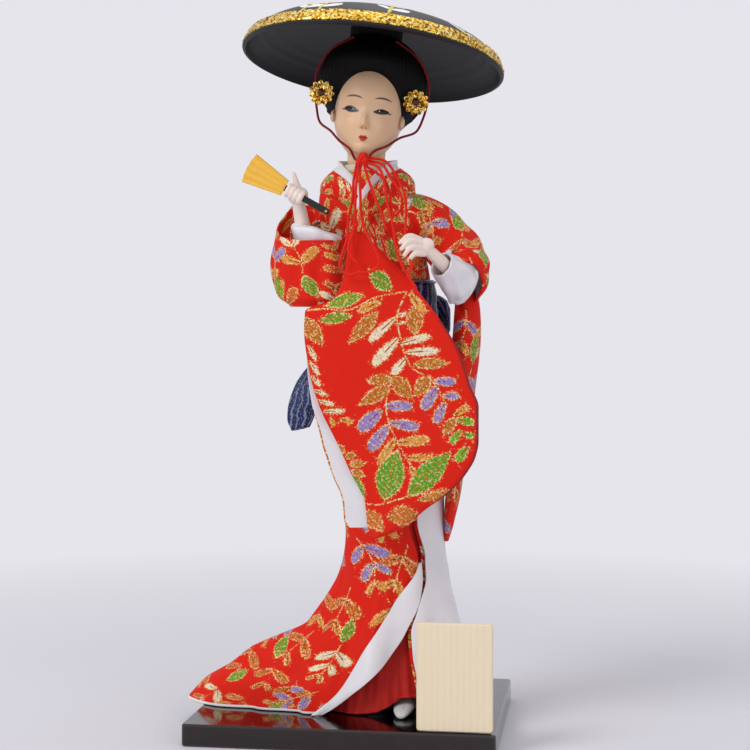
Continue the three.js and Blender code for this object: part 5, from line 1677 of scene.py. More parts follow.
@dataclass
class RightSleeve:
    """Sleeve on the raised arm: its bag, white cuff, the long front panel and its turned lining."""

    bag_table: Stations = Stations((
        (165.6, -13, -26, 12, 6.6), (172, -14.6, -24, 14.4, 8.6), (184, -15.6, -21.6, 15.8, 11.2),
        (194, -16, -17.6, 15, 14.4), (204, -18, -12.4, 11, 14.6), (212, -18.6, -9.6, 8.6, 13.4)))
    lip: Curve = Curve(((-180, 209), (-130, 209.5), (-95, 202.5), (-45, 194), (0, 192), (90, 193), (135, 203),
                        (180, 209)))
    cuff: tuple[float, ...] = (-12.8, -23, 8.7, 6.8, 180, 197.4, 2.6)
    panel_y: float = -34.6
    bulge: float = 1.9
    fold: float = 0.5
    left: Curve = Curve(((73, 12), (78, 10), (87, 9), (99, 3.3), (110, -1.8), (127, -10), (139, -13.3),
                         (156, -15.6), (163.6, -15.2), (169, -3), (181, 1), (195, 2.4)))
    right: Curve = Curve(((73, 14), (78, 25.8), (84, 32.2), (91.5, 42.4), (99, 49.2), (106, 53.1),
                          (112, 54.3), (125.5, 54.3), (134, 51.1), (147, 46.8), (159, 39.7), (168, 33),
                          (175, 27.5), (185, 18), (195, 8)))
    reach: Curve = Curve(((77, 8), (80, 9.4), (108, 7), (118, 4.5), (130, 2.3), (145, 0.2)))

    def bag(self) -> None:
        """The open bag round the forearm."""
        t, degrees, angle = rings_of(np.linspace(0, 1, 90), 200)
        low = self.bag_table.low

        def layer(inset: float, floor: float) -> Points:
            """Grid of one side of the cloth.

            Args:
                inset: distance inside the outer face.
                floor: how far it starts above the bag's low end.

            Returns:
                The grid.
            """
            z = low + floor + (self.lip(degrees) - low - floor) * t
            drape = 0.7 * np.sin(5 * angle + 0.12 * z + 0.8) * np.sin(np.pi * np.clip(t, 0, 1)) ** 0.7
            drape = drape + 0.35 * np.sin(11 * angle - 0.1 * z) * np.sin(np.pi * t)
            tuck = 0.82 + 0.18 * step(0, 0.12, t)
            a = (self.bag_table(z, 3) - inset) * tuck + drape
            b = (self.bag_table(z, 4) - inset) * tuck + drape
            return np.stack([self.bag_table(z, 1) + a * np.sin(angle),
                             self.bag_table(z, 2) - b * np.cos(angle), z], -1)

        outer, inner = layer(0, 0), layer(CLOTH_WALL, 1)[::-1]
        grid = np.concatenate([outer, inner])
        obj = Skin("right_sleeve_cloth", grid, wrap=True, capped=True).build(
            scattered((-60, -4), (60, 95), (17, 22), 9, 92, 11.5))
        tailor(obj, "brocade", "sleeve_right_bag", RED_BROCADE)

    def white_cuff(self) -> None:
        """The white inner sleeve that shows at the mouth."""
        x, y, a, b, low, top, slope = self.cuff
        t, _, angle = rings_of(np.linspace(0, 1, 40), 140)
        z = low + (top - slope * np.sin(angle) + 0.5 * np.sin(3 * angle + 1) - low) * np.sin(np.pi / 2 * t)
        flare = (1.5 * bell(t - 0.68, 0.2) - 1.6 * step(0.78, 1, t)
                 + 0.4 * np.sin(7 * angle + 1) * bell(t - 0.7, 0.3))
        grid = np.stack([x + (a + flare) * np.sin(angle), y - (b + flare) * np.cos(angle), z], -1)
        obj = Skin("right_cuff_cloth", grid, wrap=True).build()
        tailor(obj, "white_satin", "cuff_right", WHITE_SATIN, wall=LINING_WALL)

    def front_panel(self) -> None:
        """The long hanging part of the sleeve that crosses the front, with its sprays."""
        low, high = self.left.pairs[0][0], self.left.pairs[-1][0]
        z, s = mesh_of(np.linspace(low, high, 300), np.linspace(0, 1, 190))
        left, right = self.left(z), self.right(z)
        wide = np.maximum(right - left, 2)
        x = left + (right - left) * s
        share = (z - low) / (high - low)
        y = self.panel_y - self.bulge * np.sin(np.pi * s)
        y = y - self.fold * np.sin(2.5 * np.pi * s + 0.6) * np.sin(np.pi * share)
        y = y - 0.35 * np.sin(0.21 * x + 0.11 * z) * np.sin(np.pi * s) + 0.9 * bell((1 - s) * wide, 1.2)
        y = y + 0.5 * bell(s * wide, 1.0)
        grid = np.stack([x, y, z], -1)
        obj = Skin("front_panel_cloth", grid, away=(10, 60, 130), cloth=np.dstack([x, z])).build(FRONT_SPRAYS)
        edge = [self.at_border(p.center) for p in obj.data.polygons]
        tailor(obj, "brocade", "sleeve_right_panel", RED_BROCADE, DARK_RED, wall=1.1, lined=True, second=edge)

    def at_border(self, centre: Vector) -> bool:
        """Whether a place lies on the plain border along the panel's right edge."""
        z = centre.z / MM - BOARD_TOP
        return 88 < z < 160 and float(self.right(z)) - centre.x / MM < 0.9

    def lining(self) -> None:
        """White lining along the panel's left edge, with the red of the back layer beyond it."""
        z, s = mesh_of(np.linspace(77, 145, 150), np.linspace(0, 1, 40))
        left = self.left(z)
        start = left - self.reach(z)
        x = start + (left + 3 - start) * s
        y = self.panel_y + 0.8 + CLEARANCE + self.fold + 0.5 * np.sin(np.pi * s) - 0.3 * np.sin(0.3 * z) * s
        obj = Skin("panel_lining_cloth", np.stack([x, y + 0 * z, z], -1), away=(10, 60, 130)).build()
        high = [p.center.z / MM - BOARD_TOP for p in obj.data.polygons]
        red = [p.center.x / MM - float(self.left(h) - self.reach(h)) < 0.7 * float(step(128, 112, h))
               for p, h in zip(obj.data.polygons, high)]
        tailor(obj, "white_satin", "sleeve_right_lining", WHITE_SATIN, RED_BROCADE, wall=LINING_WALL,
               second=red)

    def build(self) -> None:
        """Make the whole sleeve."""
        self.bag()
        self.white_cuff()
        self.front_panel()
        self.lining()


@dataclass
class LeftSleeve:
    """Sleeve on the lowered arm: its bag with an open mouth, white cuff and hanging panel."""

    route: tuple = ((15, -0.5, 208.6), (27, -1, 203), (36.5, -2.4, 195.5), (43, -6, 187.3), (46, -10.6, 181),
                    (45.6, -16.4, 177))
    radii: tuple = (6.4, 9.6, 10.4, 11, 10.8, 9)
    mouth_tall: float = 1.5
    cuff_radius: float = 7.3
    cuff_length: float = 2.5
    wrist: tuple[float, float, float] = (38.6, -25.6, 182.2)
    wrist_radius: float = 5.4
    drop: Stations = Stations((
        (68.4, 38.4, 0.8, 1.6), (76, 39.6, 2, 6), (92, 42, 3, 11), (118, 43.8, 4.6, 14), (146, 46.2, 5.4, 14),
        (160.5, 47.2, 5.6, 12), (167, 47.4, 5.2, 10), (173, 47, 3.2, 6)))
    drop_y: float = -2

    def pipe(self, route: Sequence, radii: Sequence[float], rows: int, ripple: float, tall: Curve) -> Points:
        """Grid of an open pipe whose rings keep one side level.

        Args:
            route: places of its middle line.
            radii: one radius for each place.
            rows: rings along it.
            ripple: depth of its soft folds in mm.
            tall: depth of the lower half of each ring as a share of its width, along the pipe.

        Returns:
            The grid.
        """
        path = spline(route, 24)
        pick = np.linspace(0, len(path) - 1, rows)
        path = np.column_stack([np.interp(pick, np.arange(len(path)), path[:, k]) for k in range(3)])
        along = np.gradient(path, axis=0)
        along /= np.linalg.norm(along, axis=1)[:, None]
        side = np.cross(along, (0, 0, 1.0))
        side /= np.linalg.norm(side, axis=1)[:, None]
        top = np.cross(side, along)
        share = np.linspace(0, 1, len(radii))
        t, degrees, angle = rings_of(np.linspace(0, 1, rows), 180)
        r = Curve(tuple(zip(share, radii)))(t)
        r = r + (ripple * (np.sin(7 * angle + 9 * t) + 0.6 * np.sin(4 * angle - 14 * t))
                 * np.sin(np.pi * t) ** 0.5)
        return path[:, None] + side[:, None] * (r * np.cos(angle))[..., None] + top[:, None] * (
            np.where(degrees < 0, tall(t), 1) * r * np.sin(angle))[..., None]

    def build(self) -> None:
        """Make the bag, its cuff and the hanging panel."""
        grid = self.pipe(self.route, self.radii, 110, 0.4,
                         Curve(((0, 1), (0.6, 1.08), (0.8, 1.3), (1, self.mouth_tall))))
        obj = Skin("left_sleeve_cloth", grid, wrap=True).build(
            scattered((-40, 0), (40, 45), (13, 18), 33, 84, 11))
        tailor(obj, "brocade", "sleeve_left_bag", RED_BROCADE, WHITE_SATIN, wall=CLOTH_WALL, lined=True)
        mouth = np.array(self.route[-1], float)
        out = (np.array(self.wrist) - mouth) / np.linalg.norm(np.array(self.wrist) - mouth)
        cuff = self.pipe([mouth - out * self.cuff_length, mouth, np.array(self.wrist)],
                         [self.cuff_radius - 0.2, self.cuff_radius, self.wrist_radius], 60, 0.3,
                         Curve(((0, self.mouth_tall), (0.4, self.mouth_tall), (1, 1))))
        obj = Skin("left_cuff_cloth", cuff, wrap=True).build()
        tailor(obj, "white_satin", "cuff_left", WHITE_SATIN, wall=LINING_WALL)
        z, _, angle = rings_of(np.linspace(self.drop.low, self.drop.high, 170), 150)
        ripple = 0.5 * np.sin(3 * angle + 0.07 * z) + 0.25 * np.sin(0.2 * z + 2 * angle)
        slim = np.maximum(self.drop(z, 2) + ripple * step(70, 90, z), 0.6)
        grid = np.stack([self.drop(z, 1) + slim * np.sin(angle),
                         self.drop_y - self.drop(z, 3) * np.cos(angle), z], -1)
        obj = Skin("left_hanging_cloth", grid, wrap=True, capped=True).build(
            scattered((-36, -4), (36, 96), (14, 20), 44, -88, 12))
        tailor(obj, "brocade", "sleeve_left_panel", RED_BROCADE)


# ---------------------------------------------------------------- head, hair and hat
HEAD_POSE = (Matrix.Translation((5.3, -1, 245)) @ Matrix.Rotation(math.radians(6.5), 4, "Y")
             @ Matrix.Rotation(math.radians(5), 4, "Z") @ Matrix.Rotation(math.radians(-3), 4, "X"))


def posed(pose: Matrix, points: Points) -> Points:
    """Move points by a pose.

    Args:
        pose: the pose in millimetres above the board.
        points: array that ends in x, y, z.

    Returns:
        The moved points.
    """
    matrix = np.array(pose)
    return np.asarray(points, float) @ matrix[:3, :3].T + matrix[:3, 3]


def oval(table: Stations, degrees: Points, z: Points, grow: Points | float = 0) -> Points:
    """Places round a table of half widths, fronts and backs.

    Args:
        table: heights with a half width, a reach to the front and one to the back.
        degrees: bearing, 0 at the front.
        z: height from the eyes.
        grow: distance outside it in mm.

    Returns:
        Array of places in the head's own frame.
    """
    a, f, k = [table(z, i) for i in (1, 2, 3)]
    angle = np.radians(degrees)
    return np.stack([(a + grow) * np.sin(angle), (k - f) / 2 - ((k + f) / 2 + grow) * np.cos(angle),
                     z + 0 * angle], -1)


def pose_metres(pose: Matrix) -> Matrix:
    """The same pose for a mesh made in metres about the origin.

    Args:
        pose: the pose in millimetres above the board.

    Returns:
        The pose in metres.
    """
    out = pose.copy()
    out.translation = Vector(place(np.array(pose.translation)))
    return out


@dataclass
class Head:
    """Face with its painted features, ears and neck, moulded in one piece."""

    skull: Stations = Stations((
        (-18.2, 2.4, 12.6, -6), (-16.6, 6, 14.6, 3), (-13.6, 9, 15.6, 9), (-9.5, 11.8, 16.3, 13),
        (-5, 13.6, 16.6, 15.6), (0, 14.4, 16.2, 17.4), (6, 14.9, 16.6, 18), (13, 14.2, 15.6, 16.8),
        (19, 11.6, 12.6, 13.4), (23.4, 7.2, 7.8, 8.2), (25.6, 2.6, 2.8, 2.8)))
    strap_line: Stations = Stations((
        (-18.2, 2.4, 12.6, -6), (-16.6, 6.4, 14.6, 3), (-13.6, 9.8, 15.6, 9), (-9.5, 13.2, 16.3, 13),
        (-5, 15.6, 16.6, 15.6)))
    ivory: str = "#eac39c"
    hand: str = "#f8e6da"
    neck_x: float = 3.6
    neck_radius: float = 7.2
    neck_low: float = 211
    neck_top: float = 234

    def relief(self, x: Points, z: Points) -> Points:
        """How far the face's features stand out, in mm.

        Args:
            x: place across the face.
            z: height from the eyes.

        Returns:
            Height of the relief.
        """
        bridge = 0.95 * bell(x, 1.25) * step(-8.2, -5.6, z) * step(3.5, -4, z)
        nose = 2.2 * bell(x, 1.3) * np.where(z > -6.1, bell(z + 6.1, 3.2), bell(z + 6.1, 0.9))
        wings = 0.8 * bell(np.abs(x) - 1.5, 0.7) * bell(z + 6.6, 0.8)
        philtrum = -0.15 * bell(x, 0.6) * bell(z + 8.4, 1.0)
        upper = 0.85 * bell(np.abs(x) - 0.55, 0.95) * bell(z + 10.7, 0.62)
        lower = 0.8 * bell(x, 1.25) * bell(z + 11.95, 0.72)
        seam = -0.45 * bell(x, 1.6) * bell(z + 11.25, 0.24)
        chin = 0.7 * bell(x, 2.6) * bell(z + 15.2, 2.0) - 0.3 * bell(x, 3.0) * bell(z + 13.3, 0.9)
        sockets = -0.75 * bell(np.abs(x) - 5.8, 3.4) * bell(z - 1.0, 2.4)
        balls = 0.55 * bell(np.abs(x) - 6.2, 2.4) * bell(z - 0.2, 1.3)
        brow = 0.25 * bell(np.abs(x) - 5.6, 3.6) * bell(z - 4.6, 1.4)
        cheeks = 0.6 * bell(np.abs(x) - 8.2, 3.4) * bell(z + 6.0, 4.0)
        return (bridge + nose + wings + philtrum + upper + lower + seam + chin + sockets + balls + brow
                + cheeks)

    def eye(self, x: Points, z: Points, side: int) -> tuple[Points, Points, Points, Points]:
        """Signed distances in mm of one painted eye, positive inside.

        Args:
            x: place across the face.
            z: height from the eyes.
            side: -1 for the eye at -x.

        Returns:
            Opening, iris, lid line and painted highlight dot.
        """
        slant, high = (0.17, 1.2) if side < 0 else (0.1, 0.95)
        u = side * (x - side * 6.2)
        v = z - slant * u
        opening = np.minimum(high * (1 - (u / 3.4) ** 2) * 0.95 - v, v + 0.8 * high * (1 - (u / 3.1) ** 2))
        opening = np.where(np.abs(u) < 3.3, opening, -1)
        iris = 1.75 - np.hypot((u + 0.1) * 0.54, v - 0.12)
        crest = high * (1 - (u / 3.4) ** 2) * 0.95
        thick = 0.56 * np.clip(1 - (np.abs(u - 0.6) / 4.4) ** 2, 0, 1) + 0.05
        lid = thick - np.abs(v - crest - 0.05)
        lid = np.where((u > -3.3) & (u < 4.0), lid, -1)
        lid = np.where(u > 3.0, 0.34 - 0.22 * (u - 3.0) - np.abs(v + 0.2 - 0.28 * (u - 3.0)), lid)
        lid = np.where(u > 4.3, -1, lid)
        # the painted highlight: a dot 0.4 mm across above the inner side of the iris
        painted_eye_highlight = 0.2 - np.hypot(u + 0.75, v - 0.62)
        return opening, iris, lid, painted_eye_highlight

    def brow(self, x: Points, z: Points, side: int) -> Points:
        """Signed distance in mm of one brushed brow, positive inside.

        Args:
            x: place across the face.
            z: height from the eyes.
            side: -1 for the brow at -x.

        Returns:
            The distance.
        """
        centre, lean = (-5.3, 0.1) if side < 0 else (6.5, 0.02)
        u = side * (x - centre)
        arch = 5.2 + 0.55 * (1 - (u / 3.2) ** 2) + lean * u
        return 0.48 * np.clip(1 - (u / 3.5) ** 2, 0, 1) ** 0.5 - np.abs(z - arch) - 0.06

    def paint(self, x: Points, z: Points) -> Points:
        """Colour and gloss of each place of the face.

        Args:
            x: place across the face.
            z: height from the eyes.

        Returns:
            Red, green, blue and gloss.
        """
        def lay(colour: Points, code: str, gloss: float, mask: Points) -> Points:
            """One coat over the others."""
            return colour + (np.array(linear(code, gloss)) - colour) * np.clip(mask, 0, 1)[..., None]

        out = np.broadcast_to(np.array(linear(self.ivory, 0.25)), (*x.shape, 4)).copy()
        rosy = (0.16 * bell(np.abs(x) - 8.4, 3.6) * bell(z + 5.2, 3.2)
                + 0.22 * bell(x, 2.6) * bell(z + 6.8, 1.6))
        out = lay(out, "#e8a488", 0.25, rosy + 0.14 * bell(np.abs(x) - 6.2, 4.2) * bell(z - 2.6, 1.5))
        for side in (-1, 1):
            opening, iris, lid, painted_eye_highlight = self.eye(x, z, side)
            soft = 0.09
            out = lay(out, "#6a5a4e", 0.3, step(-soft, soft, opening))
            seen = step(-soft, soft, np.minimum(opening, iris))
            out = lay(out, "#120c0a", 0.35, seen)
            out = lay(out, "#3c2618", 0.35, seen * 0.6 * bell(iris - 0.35, 0.25))
            out = lay(out, "#8a5e4c", 0.4, 0.5 * bell(opening + 0.02, 0.16) * (z < 0))
            out = lay(out, "#0b0807", 0.8, step(-soft, soft, lid))
            # painted highlight: a white dot in each eye, where a glint would be
            out = lay(out, "#ffffff", 1.0, step(-soft, soft, np.minimum(painted_eye_highlight, opening)))
            out = lay(out, "#46291b", 0.25, 0.95 * step(-0.12, 0.14, self.brow(x, z, side)))
        lobes = 0.62 - 0.2 * bell(x, 0.5) + 0.12 * bell(np.abs(x) - 0.8, 0.5)
        top = -11.25 + 1.55 * lobes * np.clip(1 - (x / 1.95) ** 2, 0, 1) ** 0.6
        low = -11.25 - 1.3 * np.clip(1 - (x / 1.6) ** 2, 0, 1) ** 0.55
        lips = np.where(np.abs(x) < 1.9, np.minimum(top - z, z - low), -1)
        out = lay(out, "#d2382a", 0.75, step(-0.12, 0.14, lips))
        out = lay(out, "#7a1512", 0.7,
                  0.85 * bell(z + 11.3 - 0.12 * np.cos(2.2 * x), 0.16) * step(2.1, 1.6, abs(x)))
        nostril = bell(np.abs(x) - 0.85, 0.42) * bell(z + 7.35, 0.3)
        return lay(out, "#9a5a42", 0.2, 0.75 * nostril)

    def face(self) -> bpy.types.Object:
        """The skull with its features.

        Returns:
            The mesh with its paint.
        """
        z, u = mesh_of(np.concatenate([np.linspace(-18.2, -13, 34), np.linspace(-12.9, 8, 150),
                                       np.linspace(8.6, 25.6, 44)]), around(360))
        degrees = u - np.degrees(0.62 * np.sin(np.radians(u)))
        plain = oval(self.skull, degrees, z)
        front = np.abs(degrees) < 88
        lift = np.where(front, self.relief(plain[..., 0], z), 0)
        plain[..., 1] -= lift
        colour = np.where(front[..., None], self.paint(plain[..., 0], z), np.array(linear(self.ivory, 0.25)))
        obj = Skin("face", posed(HEAD_POSE, plain), wrap=True).build()
        attribute = obj.data.attributes.new("paint", "FLOAT_COLOR", "POINT")
        attribute.data.foreach_set("color", colour.astype(np.float32).ravel())
        close_ends(obj)
        return obj

    def plain(self, obj: bpy.types.Object, code: str = "") -> bpy.types.Object:
        """Give a piece of skin an even coat of paint.

        Args:
            obj: the piece.
            code: its colour, or the face's where it is empty.

        Returns:
            The same piece.
        """
        attribute = obj.data.attributes.new("paint", "FLOAT_COLOR", "POINT")
        attribute.data.foreach_set("color", np.tile(linear(code or self.ivory, 0.25), len(obj.data.vertices)))
        return obj

    def ear(self, side: int) -> bpy.types.Object:
        """One small moulded ear: a rim round a hollow.

        Args:
            side: 1 towards +x.

        Returns:
            The ear.
        """
        t, _, angle = rings_of(np.linspace(0, 1, 26), 40)
        bowl = 0.9 * np.sin(np.pi * np.clip(t * 1.25, 0, 1)) - 0.5 * bell(t - 1, 0.3)
        flat_x = 1.5 * t * np.cos(angle) * (1 - 0.2 * np.sin(angle))
        flat_z = 2.9 * t * np.sin(angle)
        grid = np.stack([side * (14.9 + 0.25 * flat_x + bowl * 0.6), -4.2 + flat_x * 1.2, flat_z - 1.4], -1)
        obj = Skin("ear", posed(HEAD_POSE, grid[1:]), wrap=True).build()
        close_ends(obj)
        return self.plain(thicken(obj, LINING_WALL))

    def neck(self) -> bpy.types.Object:
        """The neck, waisted under the jaw.

        Returns:
            The neck.
        """
        z, _, angle = rings_of(np.linspace(self.neck_low, self.neck_top, 40), 96)
        share = (z - self.neck_low) / (self.neck_top - self.neck_low)
        r = self.neck_radius + 1.0 * step(222, 227, z) - 0.4 * np.sin(np.pi * share) - 1.6 * step(226, 223, z)
        grid = np.stack([self.neck_x + 0.8 * share + r * np.sin(angle), -r * np.cos(angle) + 0.4 * share, z],
                        -1)
        obj = Skin("neck", grid, wrap=True, capped=True).build()
        return self.plain(obj)

    def build(self) -> None:
        """Make the whole head."""
        head = join("painted_head", [self.face(), self.ear(-1), self.ear(1), self.neck()])
        dress(head, SKIN)
        ride(head, Body.HEAD, ("head",))


@dataclass
class Hair:
    """Hair combed up from a rounded arch over the face, with a rolled bun at the nape."""

    head: Head
    table: Stations = Stations((
        (-10, 7, 2, 12.6), (-7, 9, 3, 15), (-3.6, 12.6, 5.6, 18), (0, 15.8, 8, 20), (3.5, 20, 12.6, 21.2),
        (8, 22.4, 15, 22), (16, 22.6, 18, 22), (22, 21, 18.5, 21), (28, 17, 16, 18), (32.4, 11, 11, 12),
        (34.6, 5, 5, 6)))
    strap_line: Stations = Stations((
        (-14, 12.4, 2, 15.6), (-8, 17.6, 7, 19), (0, 20.6, 11, 21), (8, 22.4, 15, 22), (16, 22.6, 18, 22),
        (22, 21, 18.5, 21), (28, 17, 16, 18), (32.4, 11, 11, 12), (34.6, 5, 5, 6)))
    arch_width: float = 13.9
    arch_rise: float = 16.7
    sideburn: Curve = Curve(((-10, 128), (-6, 104), (-3.4, 84), (0, 77), (3, 68), (8, 60)))
    swell: float = 4.5
    bun: tuple[float, ...] = (0, 25.5, 5, 10.4, 7.6, 9.6)

    def dome(self) -> None:
        """The combed hair, which comes down to the skin along the hairline."""
        z, u = mesh_of(np.concatenate([np.linspace(-10, 20, 120), np.linspace(20.5, 34.6, 40)]), around(420))
        degrees = u - np.degrees(0.35 * np.sin(np.radians(u)))
        outer = oval(self.table, degrees, z)
        level = np.clip(z, self.head.skull.low, 22)
        skin = oval(self.head.skull, degrees, level)
        skin[..., 2] = z
        x = skin[..., 0]
        arch = (np.hypot(x / self.arch_width, np.maximum(z, 0) / self.arch_rise) - 1) * self.arch_width
        side = (np.abs(degrees) - self.sideburn(z)) * 0.42
        gap = np.where(z > 3, arch, np.where(z < 0, side, side + (arch - side) * step(0, 3, z)))
        gap = np.where((np.abs(degrees) > 110) | (z > 20), np.maximum(gap, 6), gap)
        wave = 0.22 * np.sin(1.9 * np.abs(degrees) ** 0.9) * step(0.4, 2, gap)
        t = np.clip(gap / self.swell, 0, 1)
        rise = np.sqrt(1 - (1 - t) ** 2)
        grid = skin + (outer - skin) * (0.03 + 0.97 * rise)[..., None]
        out = grid - np.array((0, 3.0, 0)) * [1, 1, 0]
        out[..., 2] = 0
        grid = grid + out / np.maximum(np.linalg.norm(out, axis=-1, keepdims=True), 1) * wave[..., None]
        hidden = oval(self.head.skull, degrees, level, -0.7)
        hidden[..., 2] = z
        grid = np.where((gap < 0)[..., None], grid + (hidden - grid) * step(0, -0.5, gap)[..., None], grid)
        comb = np.dstack([np.hstack([degrees, degrees[:, :1] + 360]) * 0.36, np.hstack([z, z[:, :1]])])
        obj = Skin("combed_hair", posed(HEAD_POSE, grid), wrap=True, capped=True, cloth=comb).build()
        dress(obj, HAIR)
        ride(obj, Body.HEAD, ("hair_shell",))

    def roll(self) -> None:
        """The bun, combed round from side to side."""
        x, y, z0, a, b, c = self.bun
        t, degrees = mesh_of(np.linspace(0.01, 0.99, 70), around(150))
        angle, rise = np.radians(degrees), np.pi * t
        comb_lines = 1 - 0.03 * (0.5 + 0.5 * np.cos(26 * angle)) * np.sin(rise)
        grid = np.stack([x + a * np.cos(rise), y + b * np.sin(rise) * np.sin(angle) * comb_lines,
                         z0 + c * np.sin(rise) * np.cos(angle) * comb_lines], -1)
        flat = np.dstack([np.hstack([degrees, degrees[:, :1] + 360]) * 0.2, np.hstack([t, t[:, :1]]) * 20])
        obj = Skin("rolled_bun", posed(HEAD_POSE, grid), wrap=True, capped=True, cloth=flat).build()
        dress(obj, HAIR)
        ride(obj, Body.HEAD, ("hair_bun",))

    def build(self) -> None:
        """Make the hair."""
        self.dome()
        self.roll()


@dataclass
class Rosette:
    """Gilt filigree flower at the temple: two rings of wire loops round a bead."""

    side: int
    name: str
    radius: float = 5
    place_x: float = 19.6
    back: float = -10.4
    height: float = 6.4
    loops: int = 11

    def build(self) -> None:
        """Make the loops, the rings and the beads between them."""
        pieces = [self.loop(2 * math.pi * k / self.loops, 0) for k in range(self.loops)]
        pieces += [self.loop(2 * math.pi * (k + 0.5) / self.loops, 1) for k in range(self.loops)]
        pieces.append(self.ring(1.95, 0.32, (0, 0, 0.1)))
        for k in range(self.loops):
            angle = 2 * math.pi * k / self.loops
            pieces.append(self.grain((3.15 * math.cos(angle), 3.15 * math.sin(angle), 0.2)))
        pieces.append(self.dish())
        flower = join(f"filigree_{self.name}", pieces)
        turn = Matrix.Rotation(math.radians(90), 4, "X")
        pose = pose_metres(HEAD_POSE) @ Matrix.Translation(
            (self.side * self.place_x * MM, (self.back - 0.75) * MM, self.height * MM)) @ turn
        flower.data.transform(pose)
        dress(flower, FILIGREE)
        ride(flower, Body.HEAD, (f"hair_rosette_{self.name}",))

    def dish(self) -> bpy.types.Object:
        """The pierced dish under the loops, dimpled all over.

        Returns:
            The dish.
        """
        obj = primitive(bpy.ops.mesh.primitive_uv_sphere_add, segments=64, ring_count=24, radius=4.5 * MM)
        points = np.array([v.co[:] for v in obj.data.vertices])
        angle, r = np.arctan2(points[:, 1], points[:, 0]), np.hypot(points[:, 0], points[:, 1]) / MM
        dimple = 0.28 * np.sin(11 * angle + 2.4 * r) * np.sin(2.6 * r) * MM
        points[:, 2] = points[:, 2] * 0.16 - 0.25 * MM + dimple * (points[:, 2] > 0)
        obj.data.vertices.foreach_set("co", points.ravel())
        return obj

    def ring(self, radius: float, wire: float, at: Sequence[float]) -> bpy.types.Object:
        """A flat ring of wire, in millimetres."""
        return primitive(bpy.ops.mesh.primitive_torus_add, major_segments=36, minor_segments=10,
                         major_radius=radius * MM, minor_radius=wire * MM, location=[v * MM for v in at])

    def loop(self, angle: float, row: int) -> bpy.types.Object:
        """One petal loop of wire.

        Args:
            angle: its bearing round the flower.
            row: 0 for the outer ring of petals, 1 for the inner one, which stands further out.

        Returns:
            The loop.
        """
        reach, wide, long = ((3.5, 0.92, 1.5), (2.6, 0.62, 1.15))[row]
        obj = self.ring(1.0, 0.26, (0, 0, 0))
        obj.data.transform(Matrix.Diagonal((long, wide, 1.0 + 0.2 * row, 1)))
        obj.data.transform(Matrix.Translation((reach * MM, 0, 0.35 * row * MM)))
        obj.data.transform(Matrix.Rotation(angle, 4, "Z"))
        return obj

    def grain(self, at: Sequence[float]) -> bpy.types.Object:
        """One solder grain between the loops."""
        return primitive(bpy.ops.mesh.primitive_ico_sphere_add, subdivisions=2, radius=0.36 * MM,
                         location=[v * MM for v in at])


